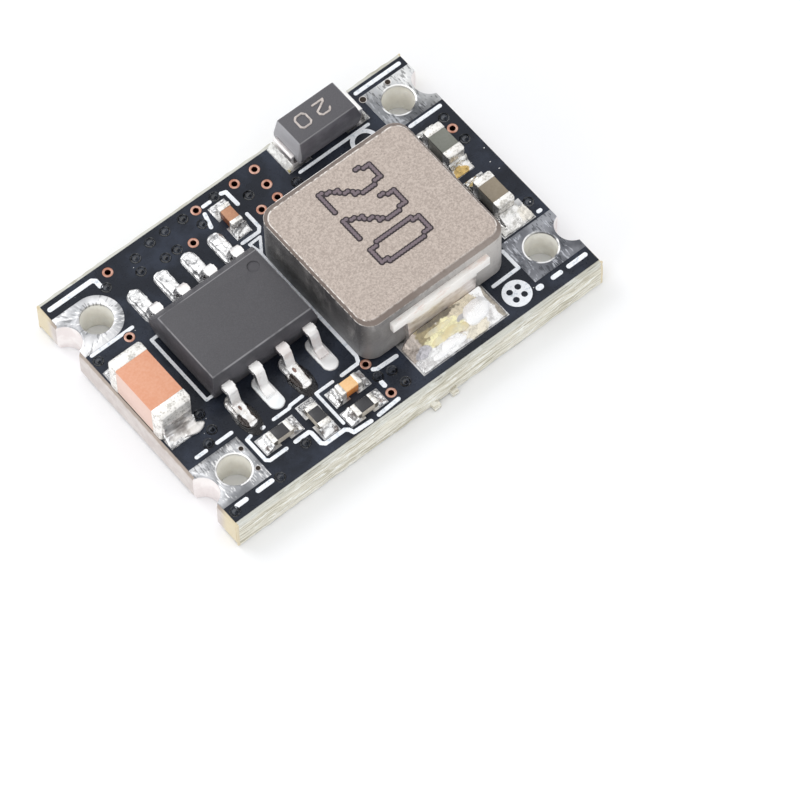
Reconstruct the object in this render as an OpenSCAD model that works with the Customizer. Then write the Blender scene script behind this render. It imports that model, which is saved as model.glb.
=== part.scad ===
// Small fixed step-down converter module: one circuit board with four plated
// wire terminals, a gull-wing controller chip, a moulded power inductor, a
// catch diode and nine small parts soldered to its upper face.
// Frame: X along the board, Y across it, Z up; the origin is under its centre.

/* [Board] */
// length of the board along X, mm
board_length = 17.5; // [17.3:0.1:19]
// width of the board along Y, mm
board_width = 11.9; // [11.8:0.1:13]
// finished thickness of the board, mm
board_thickness = 1.6; // [1.0:0.1:2.0]

/* [Terminals] */
// finished diameter of the four plated wire holes, mm
hole_diameter = 1.3; // [1.0:0.05:1.4]
// distance from a short edge to the centre of its wire holes, mm
hole_inset = 1.4; // [1.35:0.05:1.55]
// diameter of the plated notches in the short edges, mm
notch_diameter = 1.4; // [1.0:0.05:1.4]

/* [Chip] */
// length of the chip body along X, mm
chip_length = 4.9; // [4.7:0.05:5.0]
// width of the chip body along Y, mm
chip_width = 3.9; // [3.8:0.05:4.0]
// width across the tips of the chip's leads, mm
chip_span = 6.0; // [5.8:0.05:6.2]
// height of the chip above the board, mm
chip_height = 1.6; // [1.4:0.05:1.8]
// distance between the centres of neighbouring leads, mm
lead_pitch = 1.27; // [1.27:0.01:1.27]
// width of one chip lead, mm
lead_width = 0.41; // [0.35:0.01:0.48]

/* [Inductor] */
// length of the inductor body along X, mm
inductor_length = 6.76; // [6.4:0.02:6.8]
// width of the inductor body along Y, mm
inductor_width = 6.5; // [6.1:0.01:6.54]
// height of the inductor above the board, mm
inductor_height = 2.62; // [2.2:0.02:3.2]
// thickness of the inductor's terminal strip, mm
strip_thickness = 0.22; // [0.15:0.01:0.25]

/* [Diode] */
// length of the diode body along X, mm
diode_length = 3.08; // [2.8:0.02:3.2]
// width of the diode body along Y, mm
diode_width = 1.51; // [1.4:0.01:1.55]
// height of the diode above the board, mm
diode_height = 1.5; // [1.2:0.05:1.7]

/* [Capacitors] */
// length of the large input capacitor along Y, mm
input_cap_length = 3.18; // [3.0:0.02:3.2]
// width of the large input capacitor along X, mm
input_cap_width = 1.5; // [1.4:0.02:1.6]
// height of the large input capacitor, mm
input_cap_height = 1.66; // [1.3:0.02:1.9]
// length of an output capacitor along Y, mm
output_cap_length = 1.6; // [1.5:0.02:1.7]
// width of an output capacitor along X, mm
output_cap_width = 0.82; // [0.7:0.02:0.9]
// height of an output capacitor, mm
output_cap_height = 0.82; // [0.6:0.02:1.0]

/* [Small chips] */
// length of a small resistor or capacitor, mm
chip_part_length = 1.0; // [0.95:0.01:1.05]
// width of a small resistor or capacitor, mm
chip_part_width = 0.5; // [0.45:0.01:0.55]

/* [Hidden] */
$fn = 32;
// layers of the board, from the laminate outwards
mask_t = 0.03;
copper_t = 0.04;
plate_t = 0.03;
ink_t = 0.02;
lam_top = board_thickness - mask_t;
top = board_thickness;
pad_top = lam_top + copper_t;
hl = board_length / 2;
hw = board_width / 2;
mask_gap = 0.09;
// copper to copper clearance round a terminal
land_gap = 0.07;
score = 0.26;

// holes and vias
hole_r = hole_diameter / 2;
notch_r = notch_diameter / 2;
notch_out = 0.13;
hole_x = hl - hole_inset;
via_r = 0.15;
via_hole_r = 0.11;
ring_r = 0.22;

// places of the parts, [x, y]; end parts follow the board's ends
chip = [-3.76, 0.41];
pad_mid = chip[1] + 0.105;
coil = [chip[0] + 6.28, -0.65];
diode = [4.06, hw - 0.79];
in_cap = [0.82 - hl, 0.045];
// the output capacitors also stay clear of the inductor
out_cap_a = [max(hl - 1.53, coil[0] + inductor_length / 2 + 0.8), 1.51];
out_cap_b = [max(hl - 1.47, coil[0] + inductor_length / 2 + 0.8), -1.37];
boot_cap = [-0.86, 4.29];
comp_cap = [-2.04, -4.22];
res_a = [-5.17, -4.10];
res_b = [-3.67, -4.43];
res_c = [-2.08, -5.19];

// chip details
land_w = 0.66;
land_l = 1.63;
land_y = 2.92;
seam_lo = pad_top + 0.82;
seam_hi = seam_lo + 0.24;
lead_t = 0.2;
lead_tip = chip_span / 2;
lead_root = chip_width / 2;

// inductor details
coil_foot_t = 0.15;
coil_bottom = pad_top + 0.05;
coil_front = coil[1] - inductor_width / 2;
coil_rear = coil[1] + inductor_width / 2;
coil_top = top + inductor_height;
coil_corner = 0.65;
coil_foot_l = 1.05;
strip_half = 0.34 * inductor_length;
strip_waist = 0.23 * inductor_length;
strip_band = 0.48;
strip_drop = 0.56;
front_reach = 1.4;
rear_reach = 0.75;
coil_land = 4.1;

// diode details
diode_seam = pad_top + 0.55;
diode_half = diode_width / 2;
diode_end = diode_length / 2;
diode_lead_t = 0.14;
diode_lead_w = 1.1;
diode_land = 1.4;

// end bands and skins of the two-ended parts
input_band = 0.53;
output_band = 0.37;
small_band = 0.22;
skin = 0.02;

open_vias = [
  [-5.8, hw - 0.51], [-2.55, hw - 1.55], [-1.6, hw - 0.5], [0.24, hw - 0.51],
  [1.22, hw - 0.49], [1.17, hw - 1.3], [0.33, hw - 2.05], [1.13, hw - 2.0],
  [1.87 - hl, hw - 3.23], [hl - 0.62, 2.08], [-0.87, -3.77], [-0.9, -5.3]
];
tented_vias = [
  [-4.63, hw - 0.7], [-4.82, hw - 1.28], [-3.8, hw - 0.5], [-3.07, hw - 0.48],
  [-2.22, hw - 0.48], [-3.75, hw - 1.4], [-3.2, hw - 1.4], [-1.78, hw - 1.12],
  [0.34, hw - 1.25], [0.35 - hl, hw - 3.3], [1.85 - hl, -1.5], [1.8 - hl, -2.3],
  [1.35 - hl, -2.68], [-4.65, -4.93], [-0.2, -5.28], [-0.3, -4.6], [-0.85, -4.47],
  [hl - 0.57, 2.65], [hl - 0.55, 1.42], [0.35 - hl, 0.45 - hw], [2.5 - hl, 0.5 - hw],
  [2.1, hw - 1.95], [hl - 0.5, -2.25], [-0.7, hw - 0.47], [-6.25, hw - 1.0]
];
// copper lands as [x centre, y centre, length, width]
lands = [
  [in_cap[0] + 0.03, in_cap[1] + input_cap_length / 2, 1.4, 1.0],
  [in_cap[0] + 0.03, in_cap[1] - input_cap_length / 2, 1.4, 1.0],
  [coil[0], coil_front - strip_thickness - 0.18, coil_land, 2.5],
  [coil[0], coil_rear + strip_thickness - 0.37, coil_land, 2.3],
  [diode[0] - diode_end + 0.13, diode[1] - 0.02, 1.1, diode_land],
  [diode[0] + diode_end - 0.13, diode[1] - 0.02, 1.1, diode_land],
  [out_cap_a[0], out_cap_a[1] + output_cap_length / 2, 0.92, 0.8],
  [out_cap_a[0], out_cap_a[1] - output_cap_length / 2 - 0.05, 0.92, 0.92],
  [out_cap_b[0], out_cap_b[1] + output_cap_length / 2 + 0.02, 0.92, 0.92],
  [out_cap_b[0], out_cap_b[1] - output_cap_length / 2 - 0.24, 1.54, 1.06],
  [boot_cap[0], boot_cap[1] + 0.55, 0.78, 0.72],
  [boot_cap[0], boot_cap[1] - 0.55, 0.72, 0.66],
  [comp_cap[0] - 0.5, comp_cap[1] + 0.04, 0.66, 0.76],
  [comp_cap[0] + 0.5, comp_cap[1] + 0.04, 0.66, 0.76],
  [res_a[0] - 0.55, res_a[1] + 0.03, 0.7, 0.78],
  [res_a[0] + 0.55, res_a[1] + 0.03, 0.64, 0.78],
  [res_b[0], res_b[1] + 0.55, 0.76, 0.66],
  [res_b[0], res_b[1] - 0.52, 0.76, 0.72],
  [res_c[0] - 0.53, res_c[1] + 0.02, 0.68, 0.74],
  [res_c[0] + 0.53, res_c[1] + 0.02, 0.68, 0.74]
];
// printed lines as [line width, points], the first ones near the board's edges
lines = [
  [0.2, [[0.3 - hl, hw - 0.42], [2.25 - hl, hw - 0.42], [2.37 - hl, hw - 0.53],
    [2.37 - hl, hw - 0.81]]],
  [0.15, [[0.3 - hl, hw - 2.97], [2.2 - hl, hw - 2.97]]],
  [0.15, [[0.65 - hl, 3.09 - hw], [1.09 - hl, 3.09 - hw]]],
  [0.15, [[1.61 - hl, 3.09 - hw], [2.27 - hl, 3.09 - hw]]],
  [0.19, [[0.55 - hl, 0.58 - hw], [0.97 - hl, 0.58 - hw]]],
  [0.19, [[1.53 - hl, 0.58 - hw], [2.17 - hl, 0.58 - hw]]],
  [0.17, [[hl - 2.47, hw - 0.32], [hl - 0.35, hw - 0.32]]],
  [0.16, [[hl - 1.8, hw - 2.79], [hl - 0.35, hw - 2.79]]],
  [0.24, [[hl - 2.61, 0.58 - hw], [hl - 2.51, 0.58 - hw]]],
  [0.19, [[hl - 1.91, 0.58 - hw], [hl - 1.55, 0.58 - hw]]],
  [0.19, [[hl - 1.15, 0.58 - hw], [hl - 0.35, 0.58 - hw]]],
  [0.16, [[hl - 0.49, 3.13 - hw], [hl - 0.39, 3.13 - hw]]],
  [0.13, [[-6.05, 2.1], [-6.33, 2.1], [-6.33, -1.2], [-6.05, -1.2]]],
  [0.17, [[-1.62, 4.5], [-1.45, 5.1]]],
  [0.15, [[-1.3, 5.4], [-0.98, 5.4]]],
  [0.17, [[-0.42, 5.42], [-0.24, 5.36], [-0.22, 4.66]]],
  [0.15, [[-0.22, 4.1], [-0.22, 3.36], [-0.36, 3.2], [-1.15, 3.2]]],
  [0.12, [[-0.98, 2.98], [-0.46, 3.0], [-0.72, 2.62], [-0.86, 2.42], [-0.98, 2.98]]],
  [0.15, [[-0.9, 2.4], [-0.92, -3.3], [-1.04, -3.56], [-1.85, -3.58]]],
  [0.17, [[-0.8, -4.12], [-0.66, -4.2], [0.22, -4.23]]],
  [0.19, [[-0.9, -4.74], [-0.9, -4.92]]],
  [0.16, [[-0.86, -5.68], [-1.84, -5.74]]],
  [0.13, [[-2.28, -3.57], [-3.06, -3.57], [-3.06, -5.18]]],
  [0.14, [[-3.52, -3.33], [-4.1, -3.35], [-4.22, -3.42], [-4.94, -3.42]]],
  [0.14, [[-5.42, -3.44], [-5.5, -3.44]]],
  [0.15, [[-6.02, -3.42], [-6.22, -3.46], [-6.22, -4.56], [-6.1, -4.67], [-5.33, -4.67]]],
  [0.17, [[-4.9, -4.66], [-4.28, -4.66], [-4.22, -4.74], [-4.22, -5.3], [-4.1, -5.42],
    [-3.2, -5.42], [-3.08, -5.52], [-3.0, -5.72], [-2.22, -5.76]]],
  [0.13, [[2.46, hw - 1.7], [5.78, hw - 1.69]]],
  [0.15, [[6.12, -3.3], [6.12, -4.22], [4.88, -4.24]]]
];
// wire terminals as [x centre, y centre, land inner x, land width, 1 = round inner end]
term_lr = [-hole_x, hw - 1.84, 2.39 - hl, 2.08, 1];
term_lf = [-hole_x, 1.82 - hw, 2.33 - hl, 2.06, 0];
term_rr = [hole_x, hw - 1.58, hl - 2.45, 2.06, 0];
term_rf = [hole_x, 1.89 - hw, hl - 2.55, 2.08, 0];
terminals = [term_lr, term_lf, term_rr, term_rf];

mask_c = [0.07, 0.08, 0.1];
lam_c = [0.83, 0.8, 0.66];
tin_c = [0.82, 0.83, 0.84];
solder_c = [0.74, 0.75, 0.77];
copper_c = [0.78, 0.55, 0.45];
ink_c = [0.92, 0.94, 0.95];
epoxy_c = [0.16, 0.16, 0.17];
ferrite_c = [0.6, 0.55, 0.52];
orange_c = [0.87, 0.6, 0.45];
grey_c = [0.43, 0.4, 0.36];
alumina_c = [0.8, 0.79, 0.75];

// ---- helpers ----

module block(x0, x1, y0, y1, z0, z1) {
  translate([x0, y0, z0])
    cube([x1 - x0, y1 - y0, z1 - z0]);
}

module pin(x, y, r, z0, z1) {
  translate([x, y, z0])
    cylinder(r = r, h = z1 - z0);
}

// a profile in (Y, Z) swept along X, centred on x
module sweep_x(x, w, points) {
  translate([x - w / 2, 0, 0])
    rotate([90, 0, 90])
      linear_extrude(height = w)
        polygon(points);
}

// a profile in (X, Z) swept along Y from y0 to y1
module sweep_y(y0, y1, points) {
  translate([0, y1, 0])
    rotate([90, 0, 0])
      linear_extrude(height = y1 - y0)
        polygon(points);
}

module pill(x, y, w, l, z0, z1) {
  r = w / 2;
  block(x - r, x + r, y - l / 2 + r, y + l / 2 - r, z0, z1);
  pin(x, y - l / 2 + r, r, z0, z1);
  pin(x, y + l / 2 - r, r, z0, z1);
}

module lead_pills(z0, z1) {
  for (i = [0:3])
    for (s = [-1, 1])
      pill(lead_x(i), pad_mid + s * land_y, land_w, land_l, z0, z1);
}

module lead_lands(z0, z1) {
  difference() {
    lead_pills(z0, z1);
    for (t = terminals)
      terminal_land(t, z0 - 1, z1 + 1, land_gap);
    for (v = open_vias)
      pin(v[0], v[1], ring_r + land_gap, z0 - 1, z1 + 1);
  }
}

module part_lands(z0, z1) {
  difference() {
    for (p = lands)
      block(p[0] - p[2] / 2, p[0] + p[2] / 2, p[1] - p[3] / 2, p[1] + p[3] / 2, z0, z1);
    for (t = terminals)
      terminal_land(t, z0 - 1, z1 + 1, land_gap);
    for (v = open_vias)
      pin(v[0], v[1], ring_r + land_gap, z0 - 1, z1 + 1);
  }
}

// outline of a terminal's land, z0 to z1, larger by g all round
module terminal_land(t, z0, z1, g = 0) {
  s = sign(t[0]);
  far = s * (hl + g);
  inner = t[4] == 1 ? t[0] : t[2] - s * g;
  w = t[3] / 2 + g;
  block(min(far, inner), max(far, inner), t[1] - w, t[1] + w, z0, z1);
  if (t[4] == 1)
    pin(t[0], t[1], w, z0, z1);
}

module terminal(t) {
  s = sign(t[0]);
  nx = s * (hl + notch_out);
  color(tin_c)
    intersection() {
      difference() {
        union() {
          terminal_land(t, lam_top, pad_top);
          terminal_land(t, 0, mask_t);
          pin(t[0], t[1], hole_r + plate_t, 0.01, lam_top + 0.01);
          pin(nx, t[1], notch_r + plate_t, 0.01, lam_top + 0.01);
        }
        pin(t[0], t[1], hole_r, -1, top + 1);
        pin(nx, t[1], notch_r, -1, top + 1);
      }
      snapped_blank(-hw, hw);
    }
}

// ---- board ----

// the board's section along X: the short edges were scored and snapped, so
// each has a bevel above and below a plain middle band
module snapped_blank(y0, y1) {
  sweep_y(y0, y1, [[-hl + mask_gap, -0.01], [hl - mask_gap, -0.01], [hl, score],
    [hl, top - score], [hl - mask_gap, pad_top + 0.01], [-hl + mask_gap, pad_top + 0.01],
    [-hl, top - score], [-hl, score]]);
}

module laminate() {
  color(lam_c)
    difference() {
      intersection() {
        block(-hl, hl, -hw, hw, mask_t, lam_top);
        snapped_blank(-hw - 1, hw + 1);
      }
      for (t = terminals) {
        pin(t[0], t[1], hole_r + plate_t, -1, top + 1);
        pin(sign(t[0]) * (hl + notch_out), t[1], notch_r + plate_t, -1, top + 1);
      }
      for (v = open_vias)
        pin(v[0], v[1], via_r, -1, top + 1);
      for (v = tented_vias)
        pin(v[0], v[1], via_r, -1, top + 1);
    }
}

module mask_sheet(z0, z1) {
  difference() {
    block(-hl + mask_gap, hl - mask_gap, -hw + mask_gap, hw - mask_gap, z0, z1);
    for (t = terminals)
      terminal_land(t, z0 - 1, z1 + 1);
    for (v = open_vias)
      pin(v[0], v[1], ring_r, z0 - 1, z1 + 1);
  }
}

module solder_mask_top() {
  color(mask_c)
    difference() {
      mask_sheet(lam_top, top);
      for (v = tented_vias)
        pin(v[0], v[1], via_hole_r, lam_top - 1, top + 1);
      part_lands(lam_top - 1, top + 1);
      lead_lands(lam_top - 1, top + 1);
    }
}

module solder_mask_bottom() {
  color(mask_c)
    mask_sheet(0, mask_t);
}

module stroke(w, pts) {
  for (i = [0:len(pts) - 2])
    hull() {
      translate(pts[i])
        circle(d = w, $fn = 12);
      translate(pts[i + 1])
        circle(d = w, $fn = 12);
    }
}

module ring_mark(x, y) {
  translate([x, y])
    difference() {
      circle(r = 0.58, $fn = 32);
      for (a = [45:90:315])
        rotate(a)
          translate([0.28, 0])
            circle(r = 0.13, $fn = 12);
    }
}

module minus_mark(x, y) {
  translate([x, y])
    difference() {
      circle(r = 0.58, $fn = 32);
      for (s = [-1, 1])
        intersection() {
          circle(r = 0.4, $fn = 24);
          translate([-0.5, s > 0 ? 0.08 : -1.08])
            square([1, 1]);
        }
    }
}

module silkscreen() {
  color(ink_c)
    difference() {
      translate([0, 0, top])
        linear_extrude(height = ink_t)
          difference() {
            union() {
              for (l = lines)
                stroke(l[0], l[1]);
              ring_mark(hl - 3.38, 0.92 - hw);
              minus_mark(5.2, hw - 2.23);
            }
            for (v = open_vias)
              translate(v)
                circle(r = ring_r + 0.02, $fn = 24);
            for (p = lands)
              translate([p[0], p[1]])
                square([p[2] + 0.04, p[3] + 0.04], center = true);
            translate(in_cap)
              square([input_cap_width + 0.1, input_cap_length + 0.1], center = true);
          }
      for (t = terminals)
        terminal_land(t, 0, top + 1);
      lead_pills(0, top + 1);
    }
}

module copper_pads() {
  color(tin_c) {
    part_lands(lam_top, pad_top);
    lead_lands(lam_top, pad_top);
  }
}

module plated_vias() {
  color(copper_c) {
    for (v = open_vias)
      difference() {
        union() {
          pin(v[0], v[1], via_r, 0, lam_top + 0.01);
          pin(v[0], v[1], ring_r, lam_top, pad_top);
          pin(v[0], v[1], ring_r, 0, mask_t);
        }
        pin(v[0], v[1], via_hole_r, -1, top + 1);
      }
    for (v = tented_vias)
      difference() {
        pin(v[0], v[1], via_r, mask_t, lam_top);
        pin(v[0], v[1], via_hole_r, -1, top + 1);
      }
  }
}

module edge_terminal_left_rear() {
  terminal(term_lr);
}

module edge_terminal_left_front() {
  terminal(term_lf);
}

module edge_terminal_right_rear() {
  terminal(term_rr);
}

module edge_terminal_right_front() {
  terminal(term_rf);
}

// ---- controller chip ----

module chip_body() {
  x = chip[0];
  y = chip[1];
  l = chip_length / 2;
  w = chip_width / 2;
  zt = top + chip_height;
  zb = pad_top + 0.1;
  color(epoxy_c)
    difference() {
      intersection() {
        sweep_x(x, chip_length, [[y - w + 0.13, zb], [y + w - 0.13, zb], [y + w, seam_lo],
          [y + w, seam_hi], [y + w - 0.45, zt], [y - w + 0.19, zt], [y - w, seam_hi],
          [y - w, seam_lo]]);
        sweep_y(y - w, y + w, [[x - l + 0.12, zb], [x + l - 0.12, zb],
          [x + l, seam_lo], [x + l, seam_hi], [x + l - 0.15, zt], [x - l + 0.15, zt],
          [x - l, seam_hi], [x - l, seam_lo]]);
      }
      pin(x + l - 0.67, y + w - 0.97, 0.24, zt - 0.07, zt + 1);
    }
}

// profile of a lead, its Y measured outwards from the chip's middle
function lead_profile() = [
  [lead_root, seam_lo + 0.02], [lead_root + 0.21, seam_lo + 0.02],
  [lead_root + 0.3, seam_lo - 0.05], [lead_tip - 0.52, pad_top + 0.1],
  [lead_tip - 0.4, pad_top], [lead_tip, pad_top], [lead_tip, pad_top + lead_t],
  [lead_tip - 0.3, pad_top + lead_t], [lead_tip - 0.37, pad_top + lead_t + 0.07],
  [lead_root + 0.47, seam_lo + 0.13], [lead_root + 0.35, seam_lo + 0.02 + lead_t],
  [lead_root, seam_lo + 0.02 + lead_t]];

function lead_x(i) = chip[0] + (i - 1.5) * lead_pitch;

module lead_blank(i, s) {
  sweep_x(lead_x(i), lead_width, [for (p = lead_profile()) [chip[1] + s * p[0], p[1]]]);
}

module lead(i, s) {
  x = lead_x(i);
  y0 = chip[1] + s * (lead_root + 0.07);
  y1 = chip[1] + s * (lead_root + 0.33);
  w = lead_width / 2 + 0.035;
  lead_blank(i, s);
  block(x - w, x + w, min(y0, y1), max(y0, y1), seam_lo + 0.02, seam_lo + 0.02 + lead_t);
}

module chip_leads() {
  color(tin_c)
    for (i = [0:3])
      for (s = [-1, 1])
        lead(i, s);
}

// solder on one lead: level 0 is a thin coat, level 1 a full joint
module lead_joint(i, s, level) {
  x = lead_x(i);
  y = pad_mid + s * land_y;
  z = pad_top;
  foot_in = chip[1] + s * (lead_tip - 0.5);
  foot_out = chip[1] + s * lead_tip;
  end = y + s * (land_l / 2 - 0.195);
  difference() {
    union() {
      pill(x, y, land_w - 0.04, land_l - 0.05, z, z + (level == 1 ? 0.1 : 0.035));
      if (level == 1) {
        sweep_x(x, lead_width + 0.05, [[foot_in - s * 0.3, z], [foot_in - s * 0.3, z + 0.16],
          [foot_in, z + 0.34], [foot_out, z + 0.28], [end, z + 0.16], [end, z]]);
      }
    }
    lead_blank(i, s);
  }
}

module chip_solder() {
  color(solder_c)
    for (i = [0:3]) {
      lead_joint(i, -1, i % 2 == 0 ? 1 : 0);
      lead_joint(i, 1, 1);
    }
}

// ---- inductor ----

module rounded_outline(l, w, r) {
  hull()
    for (sx = [-1, 1])
      for (sy = [-1, 1])
        translate([sx * (l / 2 - r), sy * (w / 2 - r)])
          circle(r = r, $fn = 40);
}

module inductor_body() {
  h = coil_top - coil_bottom;
  color(ferrite_c)
    difference() {
      translate([coil[0], coil[1], coil_bottom])
        hull() {
          linear_extrude(height = h - 0.13)
            rounded_outline(inductor_length, inductor_width, coil_corner);
          linear_extrude(height = h)
            rounded_outline(inductor_length - 0.3, inductor_width - 0.6, coil_corner - 0.15);
        }
      for (s = [-1, 1]) {
        y = coil[1] + s * inductor_width / 2;
        w = strip_waist + 0.05;
        block(coil[0] - w, coil[0] + w, min(y + s, y - s * (coil_foot_l + 0.05)),
          max(y + s, y - s * (coil_foot_l + 0.05)), coil_bottom - 1, pad_top + coil_foot_t);
      }
    }
}

// folded end terminal; s = -1 for the front end, 1 for the rear end
module coil_terminal(s) {
  y = s < 0 ? coil_front : coil_rear;
  ya = min(y, y + s * strip_thickness);
  yb = max(y, y + s * strip_thickness);
  x = coil[0];
  z1 = coil_top - strip_drop;
  z0 = z1 - strip_band;
  color(tin_c) {
    sweep_y(ya, yb, [[x - strip_waist, pad_top], [x + strip_waist, pad_top],
      [x + strip_waist + 0.1, z0], [x + strip_half, z0], [x + strip_half, z1],
      [x - strip_half, z1], [x - strip_half, z0], [x - strip_waist - 0.1, z0]]);
    block(x - strip_waist, x + strip_waist, min(y, y - s * coil_foot_l),
      max(y, y - s * coil_foot_l), pad_top, pad_top + coil_foot_t);
  }
}

module inductor_terminal_front() {
  coil_terminal(-1);
}

module inductor_terminal_rear() {
  coil_terminal(1);
}

module inductor_solder_front() {
  y = coil_front - strip_thickness;
  e = y - front_reach;
  z = pad_top;
  color(solder_c)
    sweep_x(coil[0], coil_land - 0.06, [[y, z], [e, z], [e, z + 0.08], [e + 0.42, z + 0.26],
      [e + 0.82, z + 0.38], [y, z + 0.62]]);
}

module inductor_solder_rear() {
  y = coil_rear + strip_thickness;
  e = y + rear_reach;
  z = pad_top;
  color(solder_c)
    sweep_x(coil[0], coil_land - 0.1, [[y, z], [e, z], [e, z + 0.07], [e - 0.37, z + 0.3],
      [y, z + 0.6]]);
}

// ---- diode ----

module diode_body() {
  x = diode[0];
  y = diode[1];
  l = diode_end;
  w = diode_half;
  zt = top + diode_height;
  zb = pad_top + 0.15;
  zm = diode_seam + 0.18;
  color(epoxy_c)
    intersection() {
      sweep_y(y - w, y + w, [[x - l + 0.1, zb], [x + l - 0.1, zb], [x + l, diode_seam],
        [x + l, zm], [x + l - 0.24, zt], [x - l + 0.16, zt], [x - l, zm],
        [x - l, diode_seam]]);
      sweep_x(x, diode_length + 1, [[y - w + 0.05, zb], [y + w - 0.05, zb],
        [y + w, diode_seam], [y + w, zm], [y + w - 0.06, zt], [y - w + 0.07, zt],
        [y - w, zm], [y - w, diode_seam]]);
    }
}

// one bent lead; s = -1 on the left, 1 on the right
module diode_lead(s) {
  x = diode[0];
  l = diode_end;
  z = pad_top;
  t = diode_lead_t;
  zr = diode_seam + 0.02;
  pts = [[l, zr], [l + 0.06, zr], [l + 0.06, z + t + 0.01], [l - 0.59, z + t + 0.01],
    [l - 0.59, z], [l + 0.16, z], [l + 0.21, z + 0.05], [l + 0.21, zr + t - 0.05],
    [l + 0.16, zr + t], [l, zr + t]];
  color(tin_c)
    sweep_y(diode[1] - diode_lead_w / 2 - 0.01, diode[1] + diode_lead_w / 2 - 0.01,
      [for (p = pts) [x + s * p[0], p[1]]]);
}

module diode_lead_left() {
  diode_lead(-1);
}

module diode_lead_right() {
  diode_lead(1);
}

module diode_solder() {
  z = pad_top;
  l = diode_end + 0.21;
  pts = [[l, z], [l + 0.2, z], [l + 0.2, z + 0.05], [l + 0.07, z + 0.24], [l, z + 0.42]];
  color(solder_c)
    for (s = [-1, 1])
      sweep_y(diode[1] - diode_land / 2, diode[1] + diode_land / 2 - 0.04,
        [for (p = pts) [diode[0] + s * p[0], p[1]]]);
}

// ---- two-ended parts ----

// along = 0 lies along X, 1 along Y
module turn(c, along) {
  translate([c[0], c[1], pad_top])
    rotate(along * 90)
      children();
}

// ceramic inside its wrapped ends
module ceramic(c, along, l, w, h) {
  turn(c, along)
    block(skin - l / 2, l / 2 - skin, skin - w / 2, w / 2 - skin, skin, h - skin);
}

module wrapped_ends(c, along, l, w, h, band) {
  turn(c, along)
    for (s = [-1, 1])
      difference() {
        block(min(s * l / 2, s * (l / 2 - band)), max(s * l / 2, s * (l / 2 - band)),
          -w / 2, w / 2, 0, h);
        block(skin - l / 2, l / 2 - skin, skin - w / 2, w / 2 - skin, skin, h - skin);
      }
}

// solder at both ends: reach a on the left and b on the right, height f
module end_joints(c, along, l, w, a, b, f) {
  turn(c, along) {
    sweep_y(-w / 2, w / 2, [[l / 2, 0], [l / 2 + b, 0], [l / 2 + b, 0.04],
      [l / 2 + b * 0.45, f * 0.4], [l / 2, f]]);
    sweep_y(-w / 2, w / 2, [[-l / 2, 0], [-l / 2, f], [-l / 2 - a * 0.45, f * 0.4],
      [-l / 2 - a, 0.04], [-l / 2 - a, 0]]);
  }
}

module input_capacitor_ceramic() {
  color(orange_c)
    ceramic(in_cap, 1, input_cap_length, input_cap_width, input_cap_height);
}

module input_capacitor_ends() {
  color(tin_c)
    wrapped_ends(in_cap, 1, input_cap_length, input_cap_width, input_cap_height, input_band);
}

module input_capacitor_solder() {
  color(solder_c)
    end_joints(in_cap + [0.03, 0], 1, input_cap_length, input_cap_width - 0.16, 0.5, 0.5,
      0.3 * input_cap_height);
}

module output_ceramic(c) {
  color(grey_c)
    ceramic(c, 1, output_cap_length, output_cap_width, output_cap_height);
}

module output_ends(c) {
  color(tin_c)
    wrapped_ends(c, 1, output_cap_length, output_cap_width, output_cap_height, output_band);
}

module output_capacitor_rear_ceramic() {
  output_ceramic(out_cap_a);
}

module output_capacitor_rear_ends() {
  output_ends(out_cap_a);
}

module output_capacitor_front_ceramic() {
  output_ceramic(out_cap_b);
}

module output_capacitor_front_ends() {
  output_ends(out_cap_b);
}

module output_capacitor_solder() {
  w = output_cap_width + 0.04;
  f = 0.5 * output_cap_height;
  y = out_cap_b[1] - output_cap_length / 2;
  color(solder_c) {
    end_joints(out_cap_a, 1, output_cap_length, w, 0.5, 0.38, f);
    end_joints(out_cap_b, 1, output_cap_length, w, 0.74, 0.46, f);
    for (s = [-1, 1])
      translate([out_cap_b[0] + s * (w / 2 + 0.15), y - 0.38, pad_top + 0.05])
        cube([0.3, 0.72, 0.1], center = true);
  }
}

module small_ceramic(c, along) {
  color(orange_c)
    ceramic(c, along, chip_part_length, chip_part_width, chip_part_width);
}

module small_ends(c, along) {
  color(tin_c)
    wrapped_ends(c, along, chip_part_length, chip_part_width, chip_part_width, small_band);
}

module boot_capacitor_ceramic() {
  small_ceramic(boot_cap, 1);
}

module boot_capacitor_ends() {
  small_ends(boot_cap, 1);
}

module boot_capacitor_solder() {
  color(solder_c)
    end_joints(boot_cap, 1, chip_part_length, chip_part_width + 0.16, 0.37, 0.4, 0.32);
}

module small_capacitor_ceramic() {
  small_ceramic(comp_cap, 0);
}

module small_capacitor_ends() {
  small_ends(comp_cap, 0);
}

module resistor_substrate(c, along) {
  color(alumina_c)
    turn(c, along)
      block(skin - chip_part_length / 2, chip_part_length / 2 - skin, -chip_part_width / 2,
        chip_part_width / 2, skin, 0.33);
}

module resistor_overcoat(c, along) {
  l = chip_part_length / 2 - small_band + 0.01;
  color(epoxy_c)
    turn(c, along)
      block(-l, l, 0.01 - chip_part_width / 2, chip_part_width / 2 - 0.01, 0.33, 0.36);
}

module resistor_ends(c, along) {
  l = chip_part_length / 2;
  e = l - small_band + 0.01;
  w = chip_part_width / 2;
  color(tin_c)
    turn(c, along)
      for (s = [-1, 1])
        difference() {
          block(min(s * l, s * e), max(s * l, s * e), -w, w, 0, 0.35);
          block(skin - l, l - skin, -1, 1, skin, 0.33);
        }
}

module resistor_left_substrate() {
  resistor_substrate(res_a, 0);
}

module resistor_left_overcoat() {
  resistor_overcoat(res_a, 0);
}

module resistor_left_ends() {
  resistor_ends(res_a, 0);
}

module resistor_middle_substrate() {
  resistor_substrate(res_b, 1);
}

module resistor_middle_overcoat() {
  resistor_overcoat(res_b, 1);
}

module resistor_middle_ends() {
  resistor_ends(res_b, 1);
}

module resistor_right_substrate() {
  resistor_substrate(res_c, 0);
}

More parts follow.
